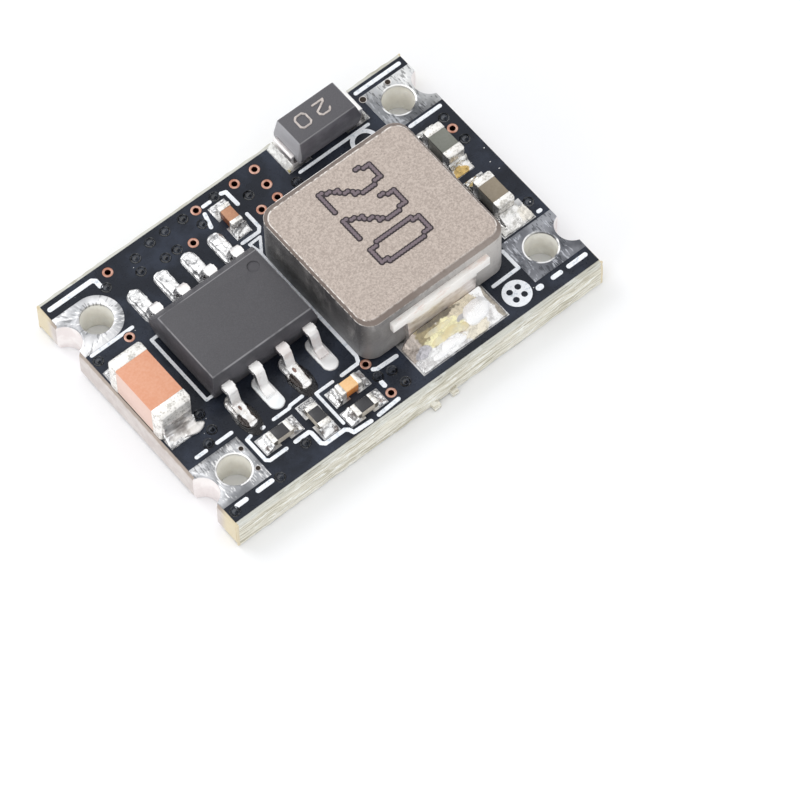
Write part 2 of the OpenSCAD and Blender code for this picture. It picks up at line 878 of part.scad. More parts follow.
module resistor_right_overcoat() {
  resistor_overcoat(res_c, 0);
}

module resistor_right_ends() {
  resistor_ends(res_c, 0);
}

module small_part_solder() {
  l = chip_part_length;
  w = chip_part_width + 0.15;
  color(solder_c) {
    end_joints(comp_cap, 0, l, w, 0.3, 0.3, 0.34);
    end_joints(res_a, 0, l, w, 0.36, 0.34, 0.3);
    end_joints(res_b, 1, l, w, 0.34, 0.34, 0.3);
    end_joints(res_c, 0, l, w, 0.34, 0.34, 0.3);
  }
}

laminate();
solder_mask_top();
solder_mask_bottom();
silkscreen();
copper_pads();
plated_vias();
edge_terminal_left_rear();
edge_terminal_left_front();
edge_terminal_right_rear();
edge_terminal_right_front();
chip_body();
chip_leads();
chip_solder();
inductor_body();
inductor_terminal_front();
inductor_terminal_rear();
inductor_solder_front();
inductor_solder_rear();
diode_body();
diode_lead_left();
diode_lead_right();
diode_solder();
input_capacitor_ceramic();
input_capacitor_ends();
input_capacitor_solder();
output_capacitor_rear_ceramic();
output_capacitor_rear_ends();
output_capacitor_front_ceramic();
output_capacitor_front_ends();
output_capacitor_solder();
boot_capacitor_ceramic();
boot_capacitor_ends();
boot_capacitor_solder();
small_capacitor_ceramic();
small_capacitor_ends();
resistor_left_substrate();
resistor_left_overcoat();
resistor_left_ends();
resistor_middle_substrate();
resistor_middle_overcoat();
resistor_middle_ends();
resistor_right_substrate();
resistor_right_overcoat();
resistor_right_ends();
small_part_solder();
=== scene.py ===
# A small step-down converter board on a pale table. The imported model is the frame, and every
# piece here is shaped on the place of its nodes. Lengths in the dictionaries are in millimetres.

import math
import random
import bpy
from mathutils import Matrix, Vector


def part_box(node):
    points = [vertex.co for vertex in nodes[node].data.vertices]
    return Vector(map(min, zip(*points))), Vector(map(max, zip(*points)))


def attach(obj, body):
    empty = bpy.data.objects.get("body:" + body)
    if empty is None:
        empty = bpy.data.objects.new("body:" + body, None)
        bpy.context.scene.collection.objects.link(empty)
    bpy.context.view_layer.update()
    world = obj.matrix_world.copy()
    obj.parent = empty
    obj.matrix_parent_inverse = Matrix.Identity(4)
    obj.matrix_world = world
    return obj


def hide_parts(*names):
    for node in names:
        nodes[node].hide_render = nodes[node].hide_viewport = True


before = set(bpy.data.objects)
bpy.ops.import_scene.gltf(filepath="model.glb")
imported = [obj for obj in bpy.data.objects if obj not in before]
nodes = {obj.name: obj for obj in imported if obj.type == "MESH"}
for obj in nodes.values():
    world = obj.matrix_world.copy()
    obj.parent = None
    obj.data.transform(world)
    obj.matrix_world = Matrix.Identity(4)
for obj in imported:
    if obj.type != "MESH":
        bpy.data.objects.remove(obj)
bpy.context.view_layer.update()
scene = bpy.context.scene
mm = 0.001
print("frame loaded with", len(nodes), "nodes")


# a socket that adds, scales and compares like a number
class Wire:
    def __init__(self, tree, socket=None):
        self.tree = tree
        self.socket = socket

    # any node: its type, its settings, what goes into its sockets, and the socket that comes out
    def node(self, kind, settings, inputs, out=0):
        made = self.tree.nodes.new("ShaderNode" + kind)
        for name, value in settings.items():
            setattr(made, name, value)
        for name, value in inputs.items():
            if isinstance(value, Wire):
                self.tree.links.new(value.socket, made.inputs[name])
            else:
                made.inputs[name].default_value = value
        return Wire(self.tree, made.outputs[out])

    def sum(self, operation, *values):
        return self.node("Math", {"operation": operation}, dict(enumerate(values)))

    def __add__(self, other):
        return self.sum("ADD", self, other)

    def __radd__(self, other):
        return self.sum("ADD", other, self)

    def __sub__(self, other):
        return self.sum("SUBTRACT", self, other)

    def __rsub__(self, other):
        return self.sum("SUBTRACT", other, self)

    def __mul__(self, other):
        return self.sum("MULTIPLY", self, other)

    def __rmul__(self, other):
        return self.sum("MULTIPLY", other, self)

    def __truediv__(self, other):
        return self.sum("DIVIDE", self, other)

    def __rtruediv__(self, other):
        return self.sum("DIVIDE", other, self)

    def __abs__(self):
        return self.sum("ABSOLUTE", self)

    def low(self, other):
        return self.sum("MINIMUM", self, other)

    def high(self, other):
        return self.sum("MAXIMUM", self, other)

    # 0 below start, 1 above end, smooth between
    def rise(self, start, end):
        return self.node("MapRange", {"interpolation_type": "SMOOTHSTEP"},
                         {0: self, 1: start, 2: end, 3: 0.0, 4: 1.0})

    # this wire as the share of the second colour; a colour is a wire, or red, green and blue to 255
    def mix(self, first, second):
        first, second = [tone if isinstance(tone, Wire) else paint(*tone) for tone in (first, second)]
        return self.node("Mix", {"data_type": "RGBA"}, {0: self, 6: first, 7: second}, 2)

    def stretch(self, x, y, z):
        return self.node("VectorMath", {"operation": "MULTIPLY"}, {0: self, 1: (x, y, z)})

    def shift(self, x, y, z):
        return self.node("VectorMath", {"operation": "ADD"}, {0: self, 1: (x, y, z)})

    def axes(self):
        return [self.node("SeparateXYZ", {}, {0: self}, k) for k in range(3)]

    def noise(self, scale, detail=3.0, rough=0.55, twist=0.0):
        return self.node("TexNoise", {}, {"Vector": self, "Scale": scale, "Detail": detail,
                                          "Roughness": rough, "Distortion": twist})

    def cells(self, scale):
        return self.node("TexVoronoi", {}, {"Vector": self, "Scale": scale})

    def bump(self, height, strength=1.0):
        return self.node("Bump", {}, {"Height": self, "Strength": strength, "Distance": height * mm})


# screen colour, 0 to 255, as the shader's own
def paint(red, green, blue):
    def lin(v):
        v /= 255
        return v / 12.92 if v <= 0.04045 else ((v + 0.055) / 1.055) ** 2.4
    return (lin(red), lin(green), lin(blue), 1.0)


# a new material with its shader and its place in millimetres
def newLook(name, **constants):
    look = bpy.data.materials.new(name)
    look.use_nodes = True
    shader = look.node_tree.nodes["Principled BSDF"]
    for socket, value in constants.items():
        shader.inputs[socket.replace("_", " ")].default_value = value
    place = Wire(look.node_tree).node("TexCoord", {}, {}, 3).stretch(1000, 1000, 1000)
    return look, shader, place


# what varies over the surface goes into the shader
def join(look, shader, **wires):
    for socket, wire in wires.items():
        look.node_tree.links.new(wire.socket, shader.inputs[socket.replace("_", " ")])
    return look


# a matt coat that wanders between two tones; start and end make the change between them sharper
def mattSkin(name, scale, detail, first, second, rough, start=None, end=None):
    look, shader, place = newLook(name)
    cloud = place.noise(scale, detail)
    share = cloud if start is None else cloud.rise(start, end)
    return join(look, shader, Base_Color=share.mix(first, second), Roughness=rough + cloud * 0.2)


# a material on nodes that stay as they are
def wear(look, *names):
    for name in names:
        for slot in nodes[name].material_slots:
            slot.material = look


def only(piece):
    bpy.ops.object.select_all(action="DESELECT")
    piece.select_set(True)
    bpy.context.view_layer.objects.active = piece


def modify(piece, kind, **settings):
    only(piece)
    made = piece.modifiers.new("step", kind)
    for name, value in settings.items():
        setattr(made, name, value)
    bpy.ops.object.modifier_apply(modifier=made.name)


def settle(piece):
    only(piece)
    bpy.ops.object.transform_apply(location=True, rotation=True, scale=True)


# edit mode with all of a piece picked
def openWhole(piece):
    only(piece)
    bpy.ops.object.mode_set(mode="EDIT")
    bpy.ops.mesh.select_all(action="SELECT")


# doubles merged, coplanar faces joined where flat, and all faces turned outwards
def clean(piece, flat=True):
    openWhole(piece)
    bpy.ops.mesh.remove_doubles(threshold=0.0000015)
    if flat:
        bpy.ops.mesh.dissolve_limited(angle_limit=math.radians(0.8))
    bpy.ops.mesh.select_all(action="SELECT")
    bpy.ops.mesh.normals_make_consistent(inside=False)
    bpy.ops.mesh.select_all(action="DESELECT")
    bpy.ops.object.mode_set(mode="OBJECT")


# a copy of a node as a piece, its doubles merged
def copyOf(name, source, flat=True):
    piece = bpy.data.objects.new(name, nodes[source].data.copy())
    scene.collection.objects.link(piece)
    clean(piece, flat)
    return piece


def block(name, low, high):
    middle = [(a + b) / 2 * mm for a, b in zip(low, high)]
    size = [(b - a) * mm for a, b in zip(low, high)]
    bpy.ops.object.select_all(action="DESELECT")
    bpy.ops.mesh.primitive_cube_add(size=1, location=middle, scale=size)
    piece = bpy.context.object
    piece.name = name
    settle(piece)
    return piece


def ball(name, middle, size, rings=4):
    bpy.ops.object.select_all(action="DESELECT")
    bpy.ops.mesh.primitive_ico_sphere_add(subdivisions=rings, radius=1,
                                          location=[v * mm for v in middle],
                                          scale=[v * mm for v in size])
    piece = bpy.context.object
    piece.name = name
    settle(piece)
    return piece


def merge(name, *pieces):
    only(pieces[0])
    for piece in pieces[1:]:
        piece.select_set(True)
    bpy.ops.object.join()
    pieces[0].name = name
    return pieces[0]


# copies of a seed at some places in millimetres, joined as one piece; the seed goes
def scatter(name, seed, places):
    copies = []
    for spot in places:
        one = bpy.data.objects.new(name, seed.data.copy())
        scene.collection.objects.link(one)
        one.location = [v * mm for v in spot]
        settle(one)
        copies.append(one)
    bpy.data.objects.remove(seed)
    return merge(name, *copies)


# balls joined as one piece, each with its place from a corner and its half size
def cluster(name, corner, lumps):
    balls = []
    for at, size in lumps:
        balls.append(ball(name, [a + b for a, b in zip(corner, at)], size))
    return merge(name, *balls)


def roundEdges(piece, width, steps, angle):
    modify(piece, "BEVEL", width=width * mm, segments=steps, limit_method="ANGLE",
           angle_limit=math.radians(angle), use_clamp_overlap=True)


# a copy of a node with its sharp edges rounded
def roundedCopy(name, source, width, steps, angle, shade, flat=True):
    piece = copyOf(name, source, flat)
    roundEdges(piece, width, steps, angle)
    smooth(piece, shade)
    return piece


# the loose parts of a piece as pieces of their own
def apart(piece):
    openWhole(piece)
    bpy.ops.mesh.separate(type="LOOSE")
    bpy.ops.object.mode_set(mode="OBJECT")
    return list(bpy.context.selected_objects)


# edit mode with the points picked that pass a test on their place in millimetres
def pick(piece, test):
    only(piece)
    bpy.ops.object.mode_set(mode="EDIT")
    bpy.ops.mesh.select_mode(type="VERT")
    bpy.ops.mesh.select_all(action="DESELECT")
    bpy.ops.object.mode_set(mode="OBJECT")
    for v in piece.data.vertices:
        v.select = test(v.co / mm)
    bpy.ops.object.mode_set(mode="EDIT")


# the points that pass a test moved by a step in millimetres
def push(piece, test, *step):
    pick(piece, test)
    bpy.ops.transform.translate(value=[v * mm for v in step])
    bpy.ops.object.mode_set(mode="OBJECT")


# every face cut finer, once for each number, and the points then shaken
def cutFiner(piece, cuts, shake=0, uniform=0, seed=0):
    openWhole(piece)
    for count in cuts:
        bpy.ops.mesh.subdivide(number_cuts=count)
    if shake:
        bpy.ops.transform.vertex_random(offset=shake * mm, uniform=uniform, seed=seed)
    bpy.ops.object.mode_set(mode="OBJECT")


# lowest and highest corner of a piece in millimetres
def reach(piece):
    spots = [v.co / mm for v in piece.data.vertices]
    low = [min(v[k] for v in spots) for k in range(3)]
    high = [max(v[k] for v in spots) for k in range(3)]
    return low, high


# a copy of a node, melted
def meltedCopy(name, source, *how):
    piece = copyOf(name, source)
    melt(piece, *how)
    return piece


# the axis along which a box is longer, 0 or 1
def longAxis(low, high):
    return 0 if high[0] - low[0] > high[1] - low[1] else 1


# lumps of one size over a whole piece; depth adds finer ones, direction can be one axis
def lumpy(piece, size, height, depth=1, direction="NORMAL"):
    cloud = bpy.data.textures.new("cloud", "CLOUDS")
    cloud.noise_scale = size * mm
    cloud.noise_depth = depth
    modify(piece, "DISPLACE", texture=cloud, texture_coords="LOCAL", direction=direction,
           strength=height * mm, mid_level=0.5)
    bpy.data.textures.remove(cloud)


# a shape melted into one skin, as solder freezes; a melt line in a dictionary gives the voxel, the
# rounds of smoothing, the size and height of the lumps, and the height of the fine grain
def melt(piece, voxel, soften, size, height, fine):
    modify(piece, "REMESH", mode="VOXEL", voxel_size=voxel * mm, use_smooth_shade=True)
    modify(piece, "SMOOTH", factor=0.5, iterations=soften)
    lumpy(piece, size, height)
    if fine:
        lumpy(piece, size / 3, fine)
    modify(piece, "SMOOTH", factor=0.4, iterations=2)


def smooth(piece, angle):
    only(piece)
    bpy.ops.object.shade_smooth_by_angle(angle=math.radians(angle))


# a finished piece: its material, and the nodes that it stands in for; the slot name is not used
def keep(piece, look, slotName, *replaced):
    piece.data.materials.clear()
    piece.data.materials.append(look)
    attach(piece, "root")
    if replaced:
        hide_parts(*replaced)


# lowest and highest corner of some nodes together, in millimetres
def sizeOf(*names):
    lows, highs = zip(*[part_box(name) for name in names])
    low = [min(v[k] for v in lows) / mm for k in range(3)]
    high = [max(v[k] for v in highs) / mm for k in range(3)]
    return low, high


halfLength, halfWidth, boardTop = sizeOf("laminate", "solder_mask_top", "solder_mask_bottom")[1]

# camera
cameraLook = {"lens": 230.5, "film": 36.0, "place": (-56.64, -77.60, 166.73),
              "azimuth": -37.83, "elevation": 61.15, "roll": -1.655}

camera = bpy.data.objects.new("camera", bpy.data.cameras.new("camera"))
scene.collection.objects.link(camera)
camera.data.lens = cameraLook["lens"]
camera.data.sensor_width = cameraLook["film"]
camera.data.clip_start = 0.01
camera.data.clip_end = 5
turn = (Matrix.Rotation(math.radians(cameraLook["azimuth"]), 4, "Z")
        @ Matrix.Rotation(math.radians(90 - cameraLook["elevation"]), 4, "X")
        @ Matrix.Rotation(math.radians(cameraLook["roll"]), 4, "Z"))
camera.matrix_world = Matrix.Translation(Vector(cameraLook["place"]) * mm) @ turn
scene.camera = camera
scene.view_settings.view_transform = "Standard"
print("camera set")

# light and table
lightLook = {"sky": 0.98, "skyLow": (228, 229, 231), "skyHigh": (255, 255, 255),
             "key": 0.13, "keyPlace": (-60, 150, 210), "keySize": 130,
             "side": 0.06, "sidePlace": (-190, -60, 90), "sideSize": 90,
             "table": (246, 247, 249), "tablePale": (250, 251, 253)}

world = bpy.data.worlds.new("studio")
scene.world = world
world.use_nodes = True
up = Wire(world.node_tree).node("TexCoord", {}, {}, 0).axes()[2]
glow = up.rise(-0.1, 0.9).mix(lightLook["skyLow"], lightLook["skyHigh"])
back = world.node_tree.nodes["Background"]
back.inputs["Strength"].default_value = lightLook["sky"]
world.node_tree.links.new(glow.socket, back.inputs["Color"])


# a square lamp that looks at the board
def softBox(name, power, place, size):
    lamp = bpy.data.lights.new(name, "AREA")
    lamp.energy = power
    lamp.size = size * mm
    holder = bpy.data.objects.new(name, lamp)
    scene.collection.objects.link(holder)
    spot = Vector(place) * mm
    holder.matrix_world = Matrix.Translation(spot) @ spot.to_track_quat("Z", "Y").to_matrix().to_4x4()


softBox("keyBox", lightLook["key"], lightLook["keyPlace"], lightLook["keySize"])
softBox("sideBox", lightLook["side"], lightLook["sidePlace"], lightLook["sideSize"])

bpy.ops.object.select_all(action="DESELECT")
bpy.ops.mesh.primitive_plane_add(size=0.6, location=(0, 0, -0.00002))
table = bpy.context.object
table.name = "table"
settle(table)
look, shader, place = newLook("tablePaper", Roughness=0.7)
tone = place.noise(0.02, 2)
join(look, shader, Base_Color=tone.mix(lightLook["table"], lightLook["tablePale"]))
table.data.materials.append(look)
print("light and table set")

# board materials
boardLook = {"mask": (32, 36, 45), "maskPale": (49, 55, 68), "ink": (246, 249, 254),
             "inkThin": (198, 208, 218), "cutPale": (240, 237, 224), "cutDark": (186, 180, 158),
             "cutWhite": (252, 252, 246), "cutGrey": (204, 205, 198), "cutLine": (150, 142, 122),
             "snapped": (206, 197, 193), "snappedPale": (218, 211, 207), "snappedTan": (160, 144, 130),
             "cornerTan": (226, 213, 180), "copper": (212, 172, 156), "copperWorn": (186, 132, 112),
             "copperShade": (66, 30, 24), "ringEdge": 0.035}

look, shader, place = newLook("maskFilm", Specular_IOR_Level=0.22)
film = place.noise(0.55, 4, 0.6)
fine = place.noise(6.0, 3)
join(look, shader, Base_Color=film.rise(0.42, 0.66).mix(boardLook["mask"], boardLook["maskPale"]),
     Roughness=0.2 + fine * 0.18, Normal=(fine + film * 3).bump(0.012, 0.6))
wear(look, "solder_mask_top", "solder_mask_bottom")

look, shader, place = newLook("whiteInk")
rub = place.noise(5.5, 4, 0.7)
join(look, shader, Base_Color=rub.rise(0.5, 0.7).mix(boardLook["ink"], boardLook["inkThin"]),
     Roughness=0.45 + rub * 0.2, Normal=rub.bump(0.012))
wear(look, "silkscreen")

# sawn along the long edges, scored and snapped along the short ones
look, shader, place = newLook("glassFibre")
x, y, z = place.axes()
layers = place.stretch(0.35, 1.0, 7.0).noise(1.0, 5, 0.65, 0.3)
streaks = place.stretch(0.9, 1.5, 4.5).noise(1.0, 5, 0.7)
sawn = layers.rise(0.38, 0.58).mix(boardLook["cutDark"], boardLook["cutPale"])
sawn = streaks.rise(0.5, 0.62).mix(sawn, boardLook["cutWhite"])
upper = (z + layers * 0.7).rise(boardTop - 0.1, boardTop + 0.4)
sawn = (upper * 0.8).mix(sawn, boardLook["cutGrey"])
cuts = place.stretch(0.5, 2.0, 26.0).noise(1.0, 3, 0.6)
sawn = (cuts.rise(0.56, 0.64) * 0.55).mix(sawn, boardLook["cutLine"])
grit = place.stretch(1.5, 1.5, 1.5).noise(1.4, 3, 0.55)
ends = grit.rise(0.35, 0.7).mix(boardLook["snapped"], boardLook["snappedPale"])
edgeBand = (z - (boardTop - 0.2 + (grit - 0.5) * 0.12)).rise(-0.04, 0.04)
ends = (edgeBand * 0.8).mix(ends, boardLook["snappedTan"])
corner = abs(y).rise(halfWidth - 1.0, halfWidth - 0.5)
ends = (corner * 0.85).mix(ends, boardLook["cornerTan"])
isEnd = abs(x).rise(halfLength - 0.12, halfLength - 0.1)
fibre = join(look, shader, Base_Color=isEnd.mix(sawn, ends), Roughness=0.62 + streaks * 0.2,
             Normal=(layers + streaks * 0.8 + cuts * 0.5 + grit).bump(0.05, 0.7))
wear(fibre, "laminate")

look, shader, place = newLook("bareCopper", Metallic=0.7)
z = place.axes()[2]
tarnish = place.noise(3.5, 3)
ring = tarnish.rise(0.35, 0.65).mix(boardLook["copper"], boardLook["copperWorn"])
# painted shade: the barrel below the copper ring drawn dark inside the hole
below = (boardTop + 0.006 - z).rise(0, 0.016)
join(look, shader, Base_Color=below.mix(ring, boardLook["copperShade"]),
     Roughness=0.35 + tarnish * 0.2, Normal=tarnish.bump(0.01))
viaRings = roundedCopy("viaRings", "plated_vias", boardLook["ringEdge"], 3, 60, 40, False)
keep(viaRings, look, "bare_copper", "plated_vias")

# tin as its darkest and palest tone; the four lands are one tin, their tones set land by land as painted
# light and shade; lit is painted light, lip a painted highlight, and barrel and notch painted light
# inside the holes; inEnd and its like are how far the middles of the wire holes lie from the board's
# edges
landLook = {"leftRear": ((164, 166, 170), (240, 240, 242)),
            "leftFront": ((132, 134, 138), (208, 209, 212)),
            "rightRear": ((92, 94, 98), (150, 152, 156)),
            "rightFront": ((98, 100, 106), (160, 162, 168)),
            "pads": ((170, 170, 172), (236, 236, 236)), "padLanes": (3.0, 2.5),
            "lit": (246, 247, 247), "litOver": 0.25, "lip": (252, 252, 252), "lipRadius": 0.68,
            "barrel": ((248, 245, 236), (255, 254, 248)), "notch": ((237, 229, 227), (249, 244, 242)),
            "inEnd": 1.4, "inLeftFront": 1.82, "inRightRear": 1.58, "inRightFront": 1.89,
            "edge": 0.028}


# how far a spot of the board is from a point, and its steps along and across
def awayFrom(x, y, point):
    dx = x - point[0]
    dy = y - point[1]
    square = dx * dx + dy * dy
    return square.sum("SQRT", square), dx, dy


# brushed tin on a land: fine scratches round its centre or along the board's width, a painted
# highlight round the lip of its hole, painted light towards the rear and right where litFrom is
# given, and below it barrels and notches drawn near white and matt as painted light
def tinLand(name, tones, centre=None, lanes=(13.0, 3.2), hole=None, litFrom=None):
    look, shader, place = newLook(name)
    dark, pale = tones
    x, y, z = place.axes()
    if centre:
        span, dx, dy = awayFrom(x, y, centre)
        angle = dy.sum("ARCTAN2", dy, dx)
        brushed = place.node("CombineXYZ", {}, {0: angle * 9.0, 1: span * 2.4, 2: z * 2})
    else:
        brushed = place.stretch(lanes[0], lanes[1], 3.0)
    scratch = brushed.noise(1.0, 2, 0.5)
    blotch = place.noise(1.1, 3)
    sweep = place.noise(0.75, 2)
    metal = (sweep * 0.6 + blotch * 0.4).rise(0.38, 0.66).mix(dark, pale)
    if litFrom:
        # painted light: the land paler towards its rear and right
        lit = (x + y - litFrom + (blotch - 0.5) * 1.5).rise(-0.9, 1.3)
        metal = (lit * 0.9).mix(metal, landLook["lit"])
    nicks = scratch.rise(0.53, 0.6) * place.noise(1.6, 2).rise(0.46, 0.54)
    metal = (nicks * 0.7).mix(metal, [min(255, v * 1.25) for v in pale])
    nicks = scratch.rise(0.46, 0.4) * place.shift(5, 3, 0).noise(1.6, 2).rise(0.46, 0.54)
    metal = (nicks * 0.6).mix(metal, [v * 0.66 for v in dark])
    if hole:
        # painted highlight: a pale ring round the lip of the hole
        lip = awayFrom(x, y, hole)[0] - landLook["lipRadius"]
        toneAndGlint = (1.0 - abs(lip).rise(0.02, 0.05)) * place.shift(2, 7, 0).noise(1.4, 2).rise(0.36, 0.5)
        metal = toneAndGlint.mix(metal, landLook["lip"])
    # painted light: the tin inside the holes and notches drawn near white and matt
    inside = (boardTop - 0.1 - z).rise(-0.05, 0.05)
    barrel = blotch.rise(0.35, 0.65).mix(*landLook["barrel"])
    inNotch = abs(x).rise(halfLength - 0.8, halfLength - 0.6)
    barrel = inNotch.mix(barrel, blotch.rise(0.4, 0.6).mix(*landLook["notch"]))
    return join(look, shader, Base_Color=inside.mix(metal, barrel), Roughness=0.24 + blotch * 0.26,
                Metallic=1.0 - inside * 0.95, Normal=(scratch + blotch).bump(0.02, 0.8))


leftRearLow, leftRearHigh = sizeOf("edge_terminal_left_rear")
holeX = halfLength - landLook["inEnd"]
leftRear = (-holeX, (leftRearLow[1] + leftRearHigh[1]) / 2)
leftFront = (-holeX, landLook["inLeftFront"] - halfWidth)
rightRear = (holeX, halfWidth - landLook["inRightRear"])
rightFront = (holeX, landLook["inRightFront"] - halfWidth)
tins = {"left_rear": tinLand("tinRound", landLook["leftRear"], leftRear),
        "left_front": tinLand("tinLeft", landLook["leftFront"], hole=leftFront),
        "right_rear": tinLand("tinRightRear", landLook["rightRear"], hole=rightRear,
                              litFrom=sum(rightRear) + landLook["litOver"]),
        "right_front": tinLand("tinRightFront", landLook["rightFront"], hole=rightFront)}
for where, tin in tins.items():
    terminal = roundedCopy("terminal_" + where, "edge_terminal_" + where, landLook["edge"], 2, 50, 35)
    keep(terminal, tin, "tin_plate", "edge_terminal_" + where)
wear(tinLand("tinPads", landLook["pads"], lanes=landLook["padLanes"]), "copper_pads")

# solders and tins: bright tone, dull tone, grain, roughness and share of metal; the resins of the
# flux: thin tone, thick tone, how solid it looks and gloss
solderLook = {"solderBright": ((255, 255, 255), (158, 158, 160), 9.0, 0.16, 0.75),
              "solderSmooth": ((250, 247, 244), (176, 170, 166), 3.0, 0.3, 0.85),
              "solderLumpy": ((255, 255, 255), (112, 106, 104), 7.0, 0.12, 0.85),
              "solderWhite": ((255, 255, 255), (246, 246, 250), 2.5, 0.24, 0.35),
              "leadTin": ((255, 254, 253), (240, 234, 232), 3.0, 0.34, 1.0),
              "padCoat": ((255, 255, 255), (246, 250, 252), 1.6, 0.3, 0.25)}
fluxLook = {"fluxYellow": ((255, 251, 226), (255, 241, 196), 0.5, 0.6),
            "fluxDark": ((26, 20, 18), (8, 7, 9), 0.5, 0.25)}


# bright frozen solder, dull where it is grainy
def solderSkin(name, bright, dull, grain, rough, metal):
    look, shader, place = newLook(name, Metallic=metal)
    cast = place.noise(grain * 0.35, 4, 0.6)
    crumbs = place.noise(grain, 4, 0.65)
    return join(look, shader, Base_Color=cast.rise(0.35, 0.52).mix(dull, bright),
                Roughness=rough + cast.rise(0.45, 0.7) * 0.22, Normal=(crumbs + cast).bump(0.02, 0.8))


# solder under stains of resin: each stain is a centre, a half size, a colour and how much metal
# still shows through
def stainedSolder(name, stains, bright, dull, share=1.0):
    look, shader, place = newLook(name)
    cast = place.noise(2.6, 4, 0.6)
    crumbs = place.noise(9.0, 4, 0.65)
    x, y, z = place.axes()
    wander = place.noise(2.1, 4, 0.6) - 0.5
    skin = cast.rise(0.38, 0.62).mix(dull, bright)
    metal = share
    for centre, half, tone, shows in stains:
        across = (x - centre[0]) / half[0]
        along = (y - centre[1]) / half[1]
        inside = 1.0 - (across * across + along * along + wander * 3.4).rise(0.7, 1.15)
        skin = inside.mix(skin, (crumbs * 0.5 + cast * 0.5).rise(0.4, 0.56).mix(
            [v * 0.84 for v in tone], tone))
        metal = metal * (1.0 - inside * (1.0 - shows))
    return join(look, shader, Base_Color=skin, Metallic=metal, Coat_Weight=(1.0 - metal) * 0.5,
                Roughness=0.18 + cast.rise(0.45, 0.7) * 0.2, Normal=(crumbs + cast).bump(0.025, 0.8))


# stains given from a corner, at their places on the board
def stainsFrom(left, near, stains):
    return [((left + x, near + y), half, tone, shows) for (x, y), half, tone, shows in stains]


# glassy resin left by the flux
def fluxSkin(name, thin, thick, see, gloss):
    look, shader, place = newLook(name, Coat_Weight=gloss, Coat_Roughness=0.05)
    pool = place.noise(2.4, 3)
    return join(look, shader, Base_Color=pool.rise(0.35, 0.65).mix(thin, thick),
                Roughness=0.12 + pool * 0.2, Alpha=see + pool * 0.25, Normal=pool.bump(0.05))


solders = {name: solderSkin(name, *values) for name, values in solderLook.items()}
resins = {name: fluxSkin(name, *values) for name, values in fluxLook.items()}
print("board materials set")

# rough sawn edges, and the stubs of the tabs that held the board in its panel: place, reach, width
edgeLook = {"reach": 0.05, "rag": 0.1, "ragSize": 0.5, "sunk": 0.02, "cuts": (9, 5),
            "nibs": [(0.54, 0.32, 0.3), (1.44, 0.28, 0.27)], "nibTop": 0.3, "nibShake": 0.02,
            "nibDroop": 0.1}

for name, side in (("sawnFront", -1), ("sawnRear", 1)):
    wall = side * halfWidth
    outer = wall + side * edgeLook["reach"]
    strip = block(name, (-halfLength + 0.02, min(wall, outer) - edgeLook["sunk"], 0.04),
                  (halfLength - 0.02, max(wall, outer), boardTop - 0.05))
    cutFiner(strip, edgeLook["cuts"])
    lumpy(strip, edgeLook["ragSize"], edgeLook["rag"], 2, "Y")
    smooth(strip, 50)
    keep(strip, fibre, "laminate")

for count, (along, out, wide) in enumerate(edgeLook["nibs"]):
    nib = block("tabStub" + str(count + 1), (along - wide / 2, -halfWidth - out, 0.02),
                (along + wide / 2, -halfWidth + 0.05, edgeLook["nibTop"]))
    cutFiner(nib, [5], edgeLook["nibShake"], 0.2, count + 3)
    # the broken end thins out
    push(nib, lambda p: p.y < -halfWidth - out * 0.7 and p.z > 0.1, 0, 0, -edgeLook["nibDroop"])
    smooth(nib, 40)
    keep(nib, fibre, "laminate")
print("edges cut")

# vias: raised rims under the mask, and bare mouths in two lands, each as its steps from the land's
# corner and its radius
viaLook = {"ring": 0.185, "thick": 0.045, "lift": 0.028, "coveredUnder": 0.36,
           "rim": (24, 27, 33), "rimPale": (56, 61, 70),
           "frontMouths": [(-0.2, 1.55, 0.11), (-0.22, 0.52, 0.11)],
           "rearMouths": [(0.02, -0.16, 0.15), (1.24, -0.15, 0.13)],
           "mouth": (214, 206, 204), "mouthPale": (246, 242, 240), "mouthPaintedShade": (52, 44, 38),
           "mouthThick": 0.03, "mouthSunk": 0.009}

covered = []
for part in apart(copyOf("viaParts", "plated_vias", flat=False)):
    low, high = reach(part)
    if high[0] - low[0] < viaLook["coveredUnder"]:
        covered.append(((low[0] + high[0]) / 2, (low[1] + high[1]) / 2, boardTop - 0.002))
    bpy.data.objects.remove(part)
bpy.ops.object.select_all(action="DESELECT")
bpy.ops.mesh.primitive_torus_add(major_segments=24, minor_segments=10,
                                 major_radius=viaLook["ring"] * mm,
                                 minor_radius=viaLook["thick"] * mm)
crater = bpy.context.object
openWhole(crater)
bpy.ops.transform.resize(value=(1, 1, viaLook["lift"] / viaLook["thick"]))
bpy.ops.mesh.bisect(plane_co=(0, 0, 0), plane_no=(0, 0, 1), use_fill=True, clear_inner=True)
bpy.ops.object.mode_set(mode="OBJECT")
maskRims = scatter("maskRims", crater, covered)
smooth(maskRims, 60)
look, shader, place = newLook("maskRim", Coat_Weight=0.9, Coat_Roughness=0.05)
toneAndGlint = place.noise(4.0, 2)
join(look, shader, Base_Color=toneAndGlint.rise(0.4, 0.6).mix(viaLook["rim"], viaLook["rimPale"]),
     Roughness=0.16 + toneAndGlint * 0.1)
keep(maskRims, look, "solder_mask")

